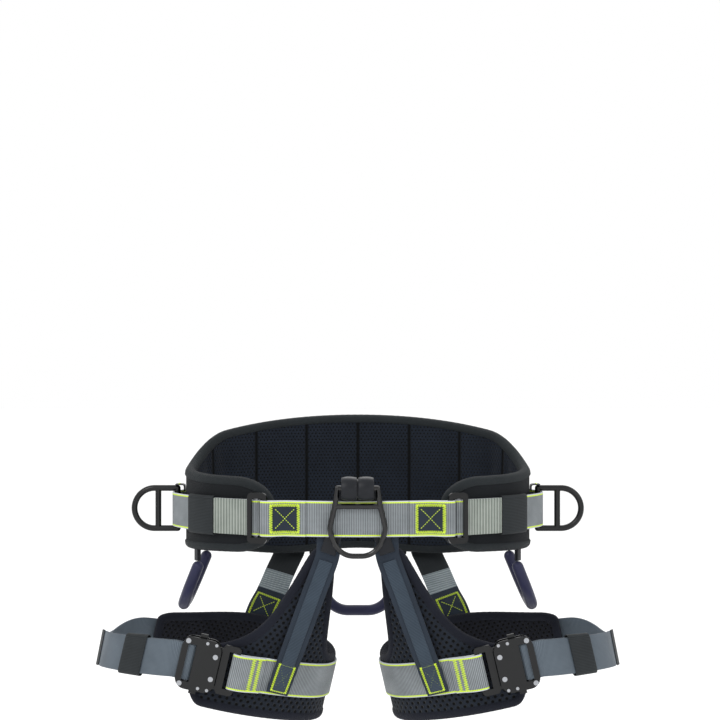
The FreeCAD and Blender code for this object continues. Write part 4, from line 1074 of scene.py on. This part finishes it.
bm = pad_slab(on_thigh, (leg_start, leg_stop), (leg_bottom, leg_top), EDGE - 3, -0.7, -8.3, 5, leg_held)
middle_of_leg = leg_frame.translation
for face in bm.faces:
    middle = face.calc_center_median() - middle_of_leg
    face.material_index = 1 if face.normal.dot(Vector((middle.x, middle.y, 0))) < 0 else 0
leg_pads = both("left_thigh_pad", bm, [leg_mesh, leg_lining], "left_leg", ["left_leg_pad"], 70)
for pad, side in zip(leg_pads, (1, -1)):
    swell(pad, 3, 5, from_middle(Vector((-0.178 * side, -0.03, 0))))
print("thigh pads:", len(leg_pads[0].data.vertices), "points each")

# %% [markdown]
# A rolled tape binds each pad. It is folded round the edge and sewn through with one line of stitches, so
# its section is a U that puckers a little between stitches.

# %% Bindings
def outline_of(reach, edges, step):
    """The pad's outline on the flat, closed, at even steps, with its inward directions."""
    (start, stop), (low, high) = reach, edges
    places = steps(start, stop, 1.0)
    fine = [Vector((s, high(s))) for s in places] + [Vector((s, low(s))) for s in reversed(places)]
    measure = [0.0]
    closed = fine + fine[:1]
    for a, b in zip(closed, closed[1:]):
        measure.append(measure[-1] + (b - a).length)
    count = round(measure[-1] / step)
    even = []
    for i in range(count):
        x = measure[-1] * i / count
        k = min(max(bisect.bisect_right(measure, x) - 1, 0), len(fine) - 1)
        even.append(closed[k].lerp(closed[k + 1], (x - measure[k]) / max(measure[k + 1] - measure[k], 1e-6)))
    for smoothing in range(3):
        even = [(even[i - 1] + even[i] * 2 + even[(i + 1) % count]) / 4 for i in range(count)]
    inward = []
    for i in range(count):
        along = (even[(i + 2) % count] - even[i - 2]).normalized()
        inward.append(Vector((along.y, -along.x)))
    return even, inward, measure[-1]


def binding(wrap, reach, edges, half_thick, step=2.5, width=EDGE, tape=0.9):
    """The tape folded round a pad's edge: X goes round the outline and Y across the tape."""
    even, inward, length = outline_of(reach, edges, step)
    count = len(even)
    turn = math.pi * half_thick / 2
    flap = width - half_thick
    bm = bmesh.new()
    bmesh.ops.create_grid(bm, x_segments=count, y_segments=16, size=0.5)
    pattern = bm.loops.layers.uv.new("pattern")
    flat = {v: (round((v.co.x + 0.5) * count), v.co.y * 2 * (turn + flap)) for v in bm.verts}
    for face in bm.faces:
        for loop in face.loops:
            k, y = flat[loop.vert]
            loop[pattern].uv = (k * length / count, y)
    for v in bm.verts:
        k, y = flat[v]
        pucker = 0.25 * math.cos(k * step * 2 * math.pi / 9)
        if abs(y) < turn:
            angle = y / half_thick
            depth, out = half_thick * (1 - math.cos(angle)), half_thick * math.sin(angle)
        else:
            past = (abs(y) - turn) / flap
            depth = half_thick + abs(y) - turn
            out = math.copysign(half_thick + 0.35 * math.sin(math.pi * past) - 0.9 * past**4, y)
        spot = even[k % count] + inward[k % count] * (depth + pucker * 0.3)
        v.co = wrap(spot.x, spot.y, out - half_thick + 0.4 + pucker * 0.3)
    bmesh.ops.remove_doubles(bm, verts=bm.verts, dist=0.01)
    bmesh.ops.recalc_face_normals(bm, faces=bm.faces)
    bmesh.ops.solidify(bm, geom=bm.faces[:], thickness=tape)
    return bm


bm = binding(on_waist, (-waist_reach, waist_reach), (waist_bottom, waist_top), 7.4)
finished("waist_edge_tape", bm, [edge_tape], "root", ["waist_pad_binding"], sharp=60)
bm = binding(on_thigh, (leg_start, leg_stop), (leg_bottom, leg_top), 4.9)
both("left_thigh_edge_tape", bm, [leg_tape], "left_leg", ["left_leg_binding"], 60)
print("edge tapes made")

# %% [markdown]
# Each gear loop hangs from the pad's lower edge by short tabs of doubled webbing at its two ends, and the
# roll has a stiff cloth core round the ring's bar. These small pieces are what the loops really turn in.

# %% Gear loop tabs and the roll's core
def loop_top(place):
    return waist.at(place, -5.5, waist_low(place) - 7.5 - 5)


GEAR_REACH, REAR_PLACE = 58, 66
gear_places = (SIDE_PLACE + GEAR_REACH, SIDE_PLACE - GEAR_REACH, REAR_PLACE)
loop_front, loop_rear, rear_loop = (loop_top(place) for place in gear_places)
loop_front.z = loop_rear.z = min(loop_front.z, loop_rear.z)
tabs = bmesh.new()
for spot, place in zip((loop_front, loop_rear, rear_loop), gear_places):
    outwards = (waist.at(place, 1) - waist.at(place)).normalized()
    aside = UP.cross(outwards)
    top, bottom = waist_low(place) + 1.5, spot.z + 8.2
    for x in (-1, 1):
        for z in (-1, 1):
            centre = Vector((spot.x, spot.y, 0)) + outwards * (z * 1.5)
            points = [centre + UP * (bottom + (top - bottom) * t) for t in (0, 0.5, 1)]
            piece = flat_strip(top - bottom, 9, 2.4, step=2, across=4)
            Route(points, aside).bend(piece)
            bmesh.ops.scale(piece, vec=(x, 1, 1), verts=piece.verts)
            bmesh.ops.recalc_face_normals(piece, faces=piece.faces)
            part = bpy.data.meshes.new("tab")
            piece.to_mesh(part)
            piece.free()
            tabs.from_mesh(part)
            bpy.data.meshes.remove(part)
finished("gear_loop_tabs", tabs, [roll_cloth], "root", ["gear_loop_anchors"])

core = bmesh.new()
low, high = (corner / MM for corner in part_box("ventral_sleeve"))
bmesh.ops.create_grid(core, x_segments=48, y_segments=14, size=0.5)
pattern = core.loops.layers.uv.new("pattern")
for face in core.faces:
    for loop in face.loops:
        loop[pattern].uv = (loop.vert.co.x * 70, loop.vert.co.y * 41)
for v in core.verts:
    angle, along = v.co.x * 2 * math.pi, v.co.y * 2
    radius = 11.2 - 1.6 * abs(along) ** 12
    v.co = (along * (high.x - 0.2), RING_Y + radius * math.cos(angle), RING_Z + radius * math.sin(angle))
bmesh.ops.remove_doubles(core, verts=core.verts, dist=0.01)
ends = bmesh.ops.extrude_edge_only(core, edges=[e for e in core.edges if e.is_boundary])["geom"]
for v in [g for g in ends if isinstance(g, bmesh.types.BMVert)]:
    v.co.y = RING_Y + (v.co.y - RING_Y) * 0.4
    v.co.z = RING_Z + (v.co.z - RING_Z) * 0.4
bmesh.ops.recalc_face_normals(core, faces=core.faces)
finished("roll_core", core, [roll_cloth], "root", ["ventral_sleeve"])
print("tabs and core made")

# %% [markdown]
# The hard parts keep the design's own shapes, since their size and place are what the joints move. They
# only get their finishes here.

# %% Hard parts
FINISHES = {"side_ring": satin_black_steel, "adjuster_frame": satin_black_steel,
            "adjuster_bar": stainless_steel, "buckle_base": satin_black_steel,
            "buckle_cover": satin_black_steel, "buckle_rivets": stainless_steel,
            "buckle_bar": stainless_steel, "buckle_tang": satin_black_steel,
            "upper_latch": satin_black_steel, "lower_latch": satin_black_steel,
            "rear_adjuster": satin_black_steel, "gear_loop": polyurethane}
named = {f"{hand}_{part}": finish_of for part, finish_of in FINISHES.items() for hand in ("left", "right")}
named.update({"ventral_ring": gloss_black_steel, "rear_gear_loop": polyurethane})
for node, material in named.items():
    mesh = frame["nodes"][node].data
    mesh.materials.clear()
    mesh.materials.append(material)
print("finished", len(named), "hard parts")
